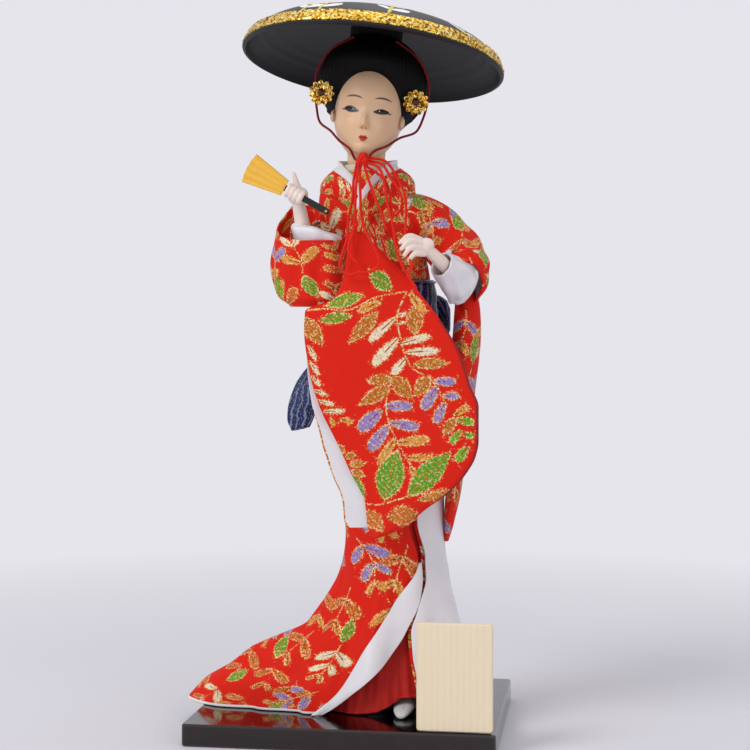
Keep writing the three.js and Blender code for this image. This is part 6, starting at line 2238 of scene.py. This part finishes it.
@dataclass
class Hat:
    """Wide shallow lacquered hat with a gold glitter braid near its rim and brushed wisteria on top."""

    radius: float = 55
    rise: float = 17.8
    wall: float = 1.3
    at: tuple[float, float, float] = (-0.8, 1.5, 23.2)
    nod: float = -3.6
    crown: Curve = Curve(((0, 1), (0.29, 0.966), (0.564, 0.854), (0.764, 0.663), (0.891, 0.438),
                          (0.971, 0.191), (1, 0)))
    braid_outer: float = 55
    braid_inner: float = 52.7
    steps: int = 288

    @property
    def pose(self) -> Matrix:
        """Pose of the hat in millimetres above the board."""
        return HEAD_POSE @ Matrix.Translation(self.at) @ Matrix.Rotation(math.radians(self.nod), 4, "X")

    def height(self, r: Points) -> Points:
        """Height of the crown at a radius."""
        return self.rise * self.crown(np.asarray(r) / self.radius)

    def shell(self) -> None:
        """The moulded shell: crown, rolled rim, and inside with its stiffening ring."""
        r = self.radius * np.sin(np.linspace(0, np.pi / 2, 44))
        narrow = 1 - self.wall / self.radius
        top = np.column_stack([r, self.height(r)])
        rim = [(self.radius + 0.1, -0.35), (self.radius - 0.15, -0.8), (self.radius - 0.7, -1.0)]
        inner_r = r[::-1] * narrow
        under = self.height(r[::-1]) - self.wall
        under = under - 0.75 * bell(inner_r - 43, 0.9) - 0.5 * bell(inner_r - 47.5, 0.6)
        inside = np.column_stack([inner_r, under])
        obj = spun("hat_shell_lacquer", np.vstack([top, rim, inside]), self.steps)
        self.brush(obj)
        obj.data.transform(pose_metres(self.pose))
        dress(obj, HAT)
        ride(obj, Body.HEAD, ("hat_shell",))

    def brush(self, obj: bpy.types.Object) -> None:
        """Write the brushed petals and stems to the shell's faces, seen from above.

        Args:
            obj: the shell, about the origin.
        """
        sprays = []
        for bearing, bend, length in ((200, 0.1, 34), (334, -0.1, 30),
                                      (20, 0.08, 32), (66, -0.1, 30), (112, 0.1, 32), (158, -0.08, 30)):
            angle = math.radians(bearing)
            sprays.append(Spray((10 * math.cos(angle), 10 * math.sin(angle)), bearing + 6, length, bend,
                                (Tone.WHITE, Tone.WHITE, Tone.CREAM), 9.5, 2))
        for root, bearing, length in (((-27, -44), 48, 24), ((-20, -48), 62, 20), ((39, -37), 104, 22),
                                      ((8, -50), 80, 16)):
            sprays.append(Spray(root, bearing, length, 0.05, (Tone.WHITE,), 8.5, 0))
        pattern = pattern_of(sprays)
        places = np.array([v.co[:] for v in obj.data.vertices])
        corners = np.array([(*p.vertices, *([p.vertices[0]] * (4 - p.loop_total)))
                            for p in obj.data.polygons])
        outside = np.array([p.normal.z > 0.15 for p in obj.data.polygons])
        flat = np.where(outside[:, None, None], places[corners][..., :2] / MM, FAR_AWAY)
        loops = np.concatenate([np.arange(p.loop_total) + 4 * i for i, p in enumerate(obj.data.polygons)])
        pattern.weave(obj, flat, loops)

    def braid(self) -> None:
        """The band of gold glitter, lumpy as glued glitter is."""
        t = np.linspace(0, 2 * np.pi, 40, endpoint=False)
        middle, half = (self.braid_outer + self.braid_inner) / 2, (self.braid_outer - self.braid_inner) / 2
        r = middle + half * np.sign(np.cos(t)) * np.abs(np.cos(t)) ** 0.6
        edge = r > self.radius - 1.2
        lift = 0.62 + 0.62 * np.sign(np.sin(t)) * np.abs(np.sin(t)) ** 0.7
        z = self.height(np.minimum(r, self.radius - 0.2)) + lift - 0.2 * edge
        ring = np.column_stack([r, z])
        obj = spun("hat_glitter_braid", np.vstack([ring, ring[:1]]), 540)
        luck = np.random.default_rng(17)
        bumps = luck.normal(0, 0.13, len(obj.data.vertices)) * MM
        points = np.array([v.co[:] for v in obj.data.vertices])
        normals = np.array([v.normal[:] for v in obj.data.vertices])
        obj.data.vertices.foreach_set("co", (points + normals * bumps[:, None]).ravel())
        obj.data.transform(pose_metres(self.pose))
        bpy.ops.object.shade_smooth()
        dress(obj, GLITTER)
        ride(obj, Body.HEAD, ("hat_braid",))

    def build(self) -> None:
        """Make the hat."""
        self.shell()
        self.braid()


# ---------------------------------------------------------------- hands, fan and feet
def limb(name: str, route: Sequence, radii: Sequence[float], sides: int = 20) -> bpy.types.Object:
    """A round-ended limb along a route.

    Args:
        name: name of the piece.
        route: places that its middle goes through.
        radii: a radius at each place.
        sides: points round it.

    Returns:
        The closed mesh.
    """
    path = even(spline(route, 10), 10 * len(route))
    radius = np.interp(np.linspace(0, 1, len(path)), np.linspace(0, 1, len(radii)), radii)
    along = (path[1] - path[0]) / np.linalg.norm(path[1] - path[0])
    along_end = (path[-1] - path[-2]) / np.linalg.norm(path[-1] - path[-2])
    ends = np.sin(np.linspace(0.15, 1.4, 5))
    path = np.vstack([path[0] - along * radius[0] * np.cos(np.arcsin(ends))[:, None], path,
                      path[-1] + along_end * radius[-1] * np.cos(np.arcsin(ends[::-1]))[:, None]])
    radius = np.concatenate([radius[0] * ends, radius, radius[-1] * ends[::-1]])
    grid = tube_rings(path, radius, sides)
    return Skin(name, grid, wrap=True, capped=True).build()


def ellipsoid(name: str, centre: Sequence[float], radii: Sequence[float], turn: float) -> bpy.types.Object:
    """A back of a hand, turned about the Y axis by degrees.

    Args:
        name: name of the piece.
        centre: its middle in mm.
        radii: its radii in mm.
        turn: turn about the Y axis in degrees.

    Returns:
        The closed mesh.
    """
    t, degrees = mesh_of(np.linspace(0.04, 0.96, 24), around(40))
    angle, rise = np.radians(degrees), np.pi * t
    grid = np.stack([radii[0] * np.sin(rise) * np.cos(angle), radii[1] * np.sin(rise) * np.sin(angle),
                     -radii[2] * np.cos(rise)], -1)
    pose = Matrix.Translation(centre) @ Matrix.Rotation(math.radians(turn), 4, "Y")
    return Skin(name, posed(pose, grid), wrap=True, capped=True).build()


def melt(pieces: Sequence[bpy.types.Object], name: str, voxel: float = 0.26) -> bpy.types.Object:
    """Melt overlapping pieces to one skin with soft creases between them.

    Args:
        pieces: closed meshes that overlap.
        name: name of the result.
        voxel: cell of the remesh in mm.

    Returns:
        The skin.
    """
    obj = modify(join(name, pieces), "REMESH", mode="VOXEL", voxel_size=voxel * MM, use_smooth_shade=True)
    return modify(obj, "SMOOTH", factor=0.5, iterations=5)


@dataclass
class Hands:
    """Both forearms and hands in the same vinyl as the face."""

    head: Head
    fan_pivot: tuple[float, float, float] = (-7.2, -31.2, 203.6)
    fan_bearing: float = 150.5
    fist: float = 11.4
    pitch: float = 1.95
    reach: float = 2.3
    finger: float = 1.1

    def right(self) -> None:
        """The fist round the fan."""
        bearing = math.radians(self.fan_bearing)
        axis = np.array((math.cos(bearing), 0, math.sin(bearing)))
        out = np.array((0, -1.0, 0))
        up = np.cross(axis, out)
        pieces = [limb("forearm", ((-15.6, -21.4, 182), (-17.2, -22.9, 192), (-18.8, -24.4, 202),
                                   (-19.4, -27.4, 208.6)), (3.5, 3.3, 3.0, 2.6), 32),
                  ellipsoid("back", (-19.2, -28.4, 210.2), (4.3, 2.4, 3.6), -20)]
        for i in range(4):
            centre = np.array(self.fan_pivot) + axis * (self.fist + i * self.pitch)
            turn = np.radians(np.linspace(150, -120, 12))
            route = [centre + self.reach * (out * math.sin(a) + up * math.cos(a)) for a in turn]
            pieces.append(limb("finger", route, np.linspace(self.finger * 1.05, self.finger * 0.82, 12), 18))
        pieces.append(limb("thumb", ((-18.4, -27.6, 211), (-19.8, -28.6, 215.4), (-20.8, -29.4, 219)),
                           (1.45, 1.2, 0.85)))
        self.finish(melt(pieces, "forearm_right_skin"), "forearm_right")

    def left(self) -> None:
        """The hand that holds the cord between its fingers and thumb."""
        pieces = [limb("forearm", ((45.6, -15.4, 175.6), (42, -21.4, 179.5), (38.4, -27.4, 183.4),
                                   (34, -31, 187.6)), (3.4, 3.0, 2.7, 2.4), 32),
                  ellipsoid("back", (32, -32.2, 189), (4.6, 2.1, 3.3), -24)]
        for route in (((31, -33, 191.6), (26.8, -35.8, 193), (23.4, -36.6, 190.4)),
                      ((31.4, -33.4, 190), (27, -36.8, 190.8), (24, -37.4, 187.8)),
                      ((31.8, -33.4, 188), (27.6, -37, 188.2), (25.2, -37.4, 185.4)),
                      ((32.4, -33.2, 186.2), (29, -36.6, 185.8), (27, -37, 183.4)),
                      ((32.8, -31.4, 187.6), (28.6, -33, 188.4), (24.4, -34.8, 190.6))):
            pieces.append(limb("finger", route, (1.35, 1.2, 0.85)))
        self.finish(melt(pieces, "forearm_left_skin"), "forearm_left")

    def finish(self, obj: bpy.types.Object, node: str) -> None:
        """Paint and place one arm."""
        tailor(self.head.plain(obj, self.head.hand), "face_ivory", node, SKIN)

    def build(self) -> None:
        """Make both hands."""
        self.right()
        self.left()


@dataclass
class Fan:
    """The shut fan: its pleated leaf of gold paper between the sticks."""

    pivot: tuple[float, float, float] = (-7.2, -31.2, 203.6)
    bearing: float = 150.5
    start: float = 19.4
    end: float = 37
    root: float = 6.6
    tip: float = 12.4
    pleats: int = 4
    depth: float = 0.7
    half: float = 0.3

    def leaf(self) -> None:
        """The pleated leaf, sharp at its folds."""
        t, s = mesh_of(np.linspace(0, 1, 30), np.linspace(-1, 1, 8 * self.pleats + 1))
        along = self.start + (self.end - self.start) * t - 0.9 * s * s * t
        width = self.root + (self.tip - self.root) * t
        saw = np.abs((s + 1) / 2 * self.pleats % 1 - 0.5) * 4 - 1
        level = saw * self.depth / 2 * (0.4 + 0.6 * t)
        flat = np.stack([along, width / 2 * s, level], -1)
        pose = (Matrix.Translation(self.pivot) @ Matrix.Rotation(math.radians(-self.bearing), 4, "Y")
                @ Matrix.Rotation(math.radians(90), 4, "X"))
        obj = Skin("fan_leaf_paper", posed(pose, flat), away=(-25, 100, 220)).build()
        thicken(obj, 2 * self.half, offset=0)
        bpy.ops.object.shade_smooth_by_angle(angle=math.radians(25))
        dress(obj, FAN_PAPER)
        ride(obj, Body.FAN, ("fan_leaf",))

    def build(self) -> None:
        """Make the leaf and dress the sticks, which are the CAD's own."""
        self.leaf()
        for node in ("fan_guard_front", "fan_rib", "fan_guard_back"):
            dress(bpy.data.objects[node], FAN_STICK)


@dataclass
class Feet:
    """Two feet in white split-toe socks."""

    at: tuple[tuple[str, float, float], ...] = (("foot_left", 23, -6), ("foot_right", 9.5, 1))
    length: float = 33
    heel: float = 7
    width: float = 9.4
    height: float = 8
    ankle: float = 17

    def foot(self, node: str, x: float, y: float) -> None:
        """One foot.

        Args:
            node: CAD node that it replaces.
            x: its middle.
            y: its place from front to back.
        """
        s, _, angle = rings_of(np.linspace(0.02, 0.98, 60), 72)
        wide = self.width / 2 * (np.sin(np.pi * s) ** 0.45) * (1 - 0.14 * step(0.4, 1, s))
        high = self.height * (0.55 + 0.45 * step(0.15, 0.8, s)) * np.sin(np.pi * s) ** 0.4
        split = 1 - 0.35 * bell(s, 0.22) * bell(np.sin(angle) - 0.25, 0.14) * (np.cos(angle) > -0.9)
        grid = np.stack([x + wide * np.sin(angle) * split,
                         y + self.heel - self.length * (1 - s) + 0 * angle,
                         0.35 + high / 2 * (1 + 0.98 * np.cos(angle) * split)], -1)
        sole = Skin("sock", grid, wrap=True, capped=True).build()
        leg = limb("ankle", ((x, y + 0.5, 5), (x, y + 1.2, 10.5), (x, y + 1.4, self.ankle - 3.4)),
                   (4.2, 3.7, 3.3), 32)
        obj = melt([sole, leg], f"{node}_sock", 0.35)
        flat = obj.data.uv_layers.new(name="cloth")
        places = np.array([obj.data.vertices[i.vertex_index].co[:2] for i in obj.data.loops])
        flat.data.foreach_set("uv", (places * 10).astype(np.float32).ravel())
        tailor(obj, "white_satin", node, TABI)

    def build(self) -> None:
        """Make both feet."""
        for node, x, y in self.at:
            self.foot(node, x, y)


# ---------------------------------------------------------------- cords
@dataclass
class Cords:
    """The red cords of the bow, the strand that the left hand holds, and the chin strap."""

    head: Head
    hair: Hair
    chin_radius: float = 0.5
    chin_lift: float = 1.2
    knot_at: tuple[float, float, float] = (0.6, -17.4, -20.6)
    loop_left: tuple = (
        (3.2, -19.4, 223), (2.2, -20.4, 217), (2.3, -23, 210), (2.2, -31, 202.5), (2.6, -37.2, 196.5),
        (2.4, -39.2, 191), (0.6, -39.6, 185.5), (-0.2, -39.8, 181.6), (1.4, -39.9, 178.8), (4, -40, 177.8),
        (7.6, -40, 178.6), (11.4, -40, 178.8), (14.4, -40, 180), (15.6, -40, 183.2), (14, -39.8, 187.6),
        (11.2, -39.2, 192.4), (8.6, -36.5, 197.8), (6.6, -29.5, 204), (5.4, -23, 211), (4.8, -20.8, 217),
        (5, -19.8, 222.4))
    tail_left: tuple = (
        (4, -20.6, 222.2), (3.4, -21.8, 214), (4, -27, 207), (5, -34.4, 200), (4.8, -38.6, 194),
        (3.2, -40.6, 188), (5, -41.2, 184.4), (7.2, -41.4, 182))
    tail_middle: tuple = (
        (6.6, -19.8, 222.6), (8.2, -20.6, 217.6), (11, -22.4, 210.4), (14.2, -25.4, 203.6),
        (17, -28.6, 195.4))
    tail_right: tuple = (
        (8, -19.8, 224), (12.4, -21, 222), (14.8, -22, 217), (16.2, -24.4, 209.6), (18.6, -27.8, 201.4),
        (20.4, -32.6, 194.6), (21.8, -36.8, 188.2), (24, -39, 182.4), (27, -39.6, 177), (30.4, -39.8, 172.2))
    loop_right: tuple = (
        (7.8, -17.9, 225.2), (13.4, -17.6, 223.6), (17, -18.6, 218.4), (20.6, -21.4, 213), (22.6, -24.6, 208),
        (22, -27, 203.6), (19.8, -27.2, 202), (18.2, -25, 205), (17.4, -22.4, 210.4), (15, -19.8, 216.6),
        (10.6, -18.6, 220.6), (7.6, -19.4, 222.4))
    held: tuple = (
        (8, -17, 226.4), (14.6, -16.6, 225), (19.4, -18.4, 218.6), (23.6, -24, 210.6), (25, -30.6, 203),
        (25.4, -35.4, 196.8), (25.2, -35.7, 191.5), (26, -35.6, 187.2), (27.4, -37.5, 183.5),
        (28.6, -39.8, 181.2), (27.4, -42, 177.6), (29.4, -42.2, 173.4), (32.4, -42, 168.4))

    def cord(self, name: str, route: Sequence, nodes: Sequence[str], finish: Finish,
             radius: float = CORD_RADIUS,
             body: Body | None = Body.HEAD) -> bpy.types.Object:
        """One cord with a twisted surface, round at its ends.

        Args:
            name: name of the piece.
            route: places that it goes through, in millimetres above the board.
            nodes: CAD nodes that it replaces.
            finish: its material.
            radius: its radius in mm.
            body: what it rides on.

        Returns:
            The piece.
        """
        line = spline(route, 12)
        length = float(path_length(line)[-1])
        path = even(line, int(length / 0.4))
        radii = np.full(len(path), radius)
        radii[[0, -1]] *= 0.72
        obj = Skin(name, tube_rings(path, radii, 16), wrap=True, capped=True).build()
        dress(obj, finish)
        return ride(obj, body, nodes)

    def chin(self, side: int, name: str) -> None:
        """One half of the strap, from under the hat over the hair and along the jaw to the knot.

        Args:
            side: 1 towards +x.
            name: left or right.
        """
        over = [oval(self.hair.strap_line, side * turn, z, self.chin_lift) for turn, z in
                ((34, 30.5), (62, 25), (80, 17), (90, 9), (88, 2), (80, -3))]
        along = [oval(self.head.strap_line, side * turn, z, self.chin_lift) for turn, z in
                 ((70, -8.4), (56, -12.6), (36, -16.2))]
        route = posed(HEAD_POSE, np.array(over + along + [np.array((side * 2.6, -13.4, -19.6))]))
        self.cord(f"chin_strap_{name}", route, (f"chin_cord_{name}",), DARK_CORD,
                  self.chin_radius)

    def knot(self) -> None:
        """The knot: each strand of the bow arches over its core, and the strap comes in behind it."""
        centre = posed(HEAD_POSE, np.array(self.knot_at))
        top = centre + (0, -1.6, 1.2)
        pairs = ((self.loop_left[0], self.tail_right[0], 1.2), (self.tail_left[0], self.loop_right[0], 0.5),
                 (self.loop_left[-1], self.held[0], 1.0), (self.loop_right[-1], self.tail_middle[0], -0.6))
        pieces = [ellipsoid("core", centre + (0.4, -0.6, -0.4), (2.7, 1.5, 1.7), 0)]
        for start, end, rise in pairs:
            over = top + ((start[0] + end[0]) / 2 - centre[0], 0, rise)
            ring = tube_rings(even(spline((start, (np.array(start) + over) / 2 + (0, -0.5, 0.5), over,
                                           (np.array(end) + over) / 2 + (0, -0.5, 0.5), end), 10), 40),
                              np.full(40, CORD_RADIUS + 0.05), 14)
            pieces.append(Skin("strand", ring, wrap=True, capped=True).build())
        obj = join("bow_knot_cord", pieces)
        dress(obj, RED_CORD)
        ride(obj, Body.HEAD, ("bow_knot",))
        arms = []
        for side in (-1, 1):
            route = posed(HEAD_POSE, np.array([(side * 2.8, -13, -19.3), (side * 2.2, -15, -20.1),
                                               (side * 1.2, -16.8, -20.7), (0, -17.2, -20.9)]))
            ring = tube_rings(even(spline(route, 10), 24), np.full(24, self.chin_radius), 14)
            arms.append(Skin("arm", ring, wrap=True, capped=True).build())
        arms = join("strap_gather", arms)
        dress(arms, DARK_CORD)
        ride(arms, Body.HEAD)

    def build(self) -> None:
        """Make the knot and all the cords."""
        self.knot()
        self.chin(-1, "left")
        self.chin(1, "right")
        for name, route, far_end in (
                ("loop_left", self.loop_left, "object"), ("loop_right", self.loop_right, "object"),
                ("tail_left", self.tail_left, "bare"), ("tail_middle", self.tail_middle, "bare"),
                ("tail_right", self.tail_right, "bare")):
            self.cord(f"bow_cord_{name}", route, (f"bow_{name}",), RED_CORD)
        held = self.cord("held_cord", self.held, ("hand_cord", "hand_cord_tail"), RED_CORD,
                         body=None)
        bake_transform(held)


# ---------------------------------------------------------------- board, hidden parts and studio
def dress_nodes() -> None:
    """Give the CAD's own parts their finishes."""
    finishes = {
        "base_board": LACQUER, "name_plaque": WOOD, "padded_body": PADDING, "hat_pad": PAD_FELT,
        "leg_wire_left": WIRE, "leg_wire_right": WIRE, "arm_wire_left": WIRE, "arm_wire_right": WIRE,
        "fan_rivet": FILIGREE, "rosette_bead_left": BEAD, "rosette_bead_right": BEAD}
    for node, finish in finishes.items():
        dress(bpy.data.objects[node], finish)
        LOG.info("%s: CAD part in %s", node, finish.name)


@dataclass
class Studio:
    """Pale floor, soft lamps and the camera at the photograph's place."""

    camera_at: tuple[float, float, float] = (0.1014, -0.6296, 0.159)
    heading: tuple[float, float] = (-0.1468, 0.9892)
    pitch: float = 1.13
    lens: float = 72.72
    sensor: float = 36
    near: float = 0.01
    backdrop: str = "#e6e5eb"

    def camera(self) -> None:
        """Put the camera where the photograph was taken."""
        data = bpy.data.cameras.new("camera")
        data.lens, data.sensor_width, data.clip_start = self.lens, self.sensor, self.near
        obj = bpy.data.objects.new("camera", data)
        down = math.radians(self.pitch)
        aim = Vector((self.heading[0] * math.cos(down), self.heading[1] * math.cos(down), -math.sin(down)))
        obj.location = self.camera_at
        obj.rotation_euler = aim.to_track_quat("-Z", "Y").to_euler()
        bpy.context.collection.objects.link(obj)
        bpy.context.scene.camera = obj

    def floor(self) -> None:
        """A wide floor whose far part shows the backdrop's colour."""
        bare_selection()
        bpy.ops.mesh.primitive_plane_add(size=8)
        obj = bpy.context.object
        obj.name = "studio_floor"
        g = Graph("studio_floor_paper")
        away = g.add("VectorMath", [g.add("TexCoord").outputs["Object"]], operation="LENGTH")
        far = g.span(away.outputs["Value"], 0.2, 0.55)
        seen = g.times(g.add("LightPath").outputs["Is Camera Ray"], far)
        paper = g.add("BsdfPrincipled", {"Base Color": linear(self.backdrop), "Roughness": 0.9})
        glow = g.add("Emission", {"Color": linear(self.backdrop), "Strength": 1.0})
        obj.data.materials.append(g.close(g.add("MixShader", {0: seen, 1: paper, 2: glow})))

    def lamp(self, name: str, at: Sequence[float], size: float, watts: float) -> None:
        """One soft square lamp that faces the doll.

        Args:
            name: its name.
            at: its place in metres.
            size: its side in metres.
            watts: its power.
        """
        data = bpy.data.lights.new(name, "AREA")
        data.energy, data.size = watts, size
        obj = bpy.data.objects.new(name, data)
        obj.location = at
        obj.rotation_euler = (Vector((0, 0, 0.15)) - Vector(at)).to_track_quat("-Z", "Y").to_euler()
        bpy.context.collection.objects.link(obj)

    def build(self) -> None:
        """Make the studio."""
        self.camera()
        self.floor()
        self.lamp("key", (-0.75, -0.85, 0.95), 0.55, 8.0)
        self.lamp("fill", (0.9, -0.8, 0.5), 0.8, 2.1)
        self.lamp("top", (0.1, 0.15, 1.1), 0.8, 2.6)
        world = bpy.data.worlds.new("studio")
        world.use_nodes = True
        bpy.context.scene.world = world
        tree = world.node_tree
        paths = tree.nodes.new("ShaderNodeLightPath")
        strength = tree.nodes.new("ShaderNodeMapRange")
        strength.inputs["To Min"].default_value = 0.52
        seen = paths.outputs["Is Camera Ray"]
        for ray in ("Is Glossy Ray", "Is Transmission Ray"):
            either = tree.nodes.new("ShaderNodeMath")
            either.operation = "MAXIMUM"
            tree.links.new(seen, either.inputs[0])
            tree.links.new(paths.outputs[ray], either.inputs[1])
            seen = either.outputs[0]
        tree.links.new(seen, strength.inputs["Value"])
        background = tree.nodes["Background"]
        background.inputs["Color"].default_value = linear(self.backdrop)
        tree.links.new(strength.outputs["Result"], background.inputs["Strength"])
        bpy.context.scene.view_settings.view_transform = "Standard"


def main() -> None:
    """Build the doll piece by piece."""
    logging.basicConfig(level=logging.INFO, format="%(relativeCreated)6.0f ms  %(message)s")
    head = Head()
    hair = Hair(head)
    hands = Hands(head)
    Studio().build()
    Cords(head, hair).build()
    for part in (Skirts(), UpperKimono(), SashBow(), RightSleeve(), LeftSleeve(), head, hair,
                 Rosette(-1, "left"), Rosette(1, "right"), Hat(), hands, Fan(), Feet()):
        LOG.info("building %s", type(part).__name__)
        part.build()
    dress_nodes()


if __name__ == "__main__":
    main()
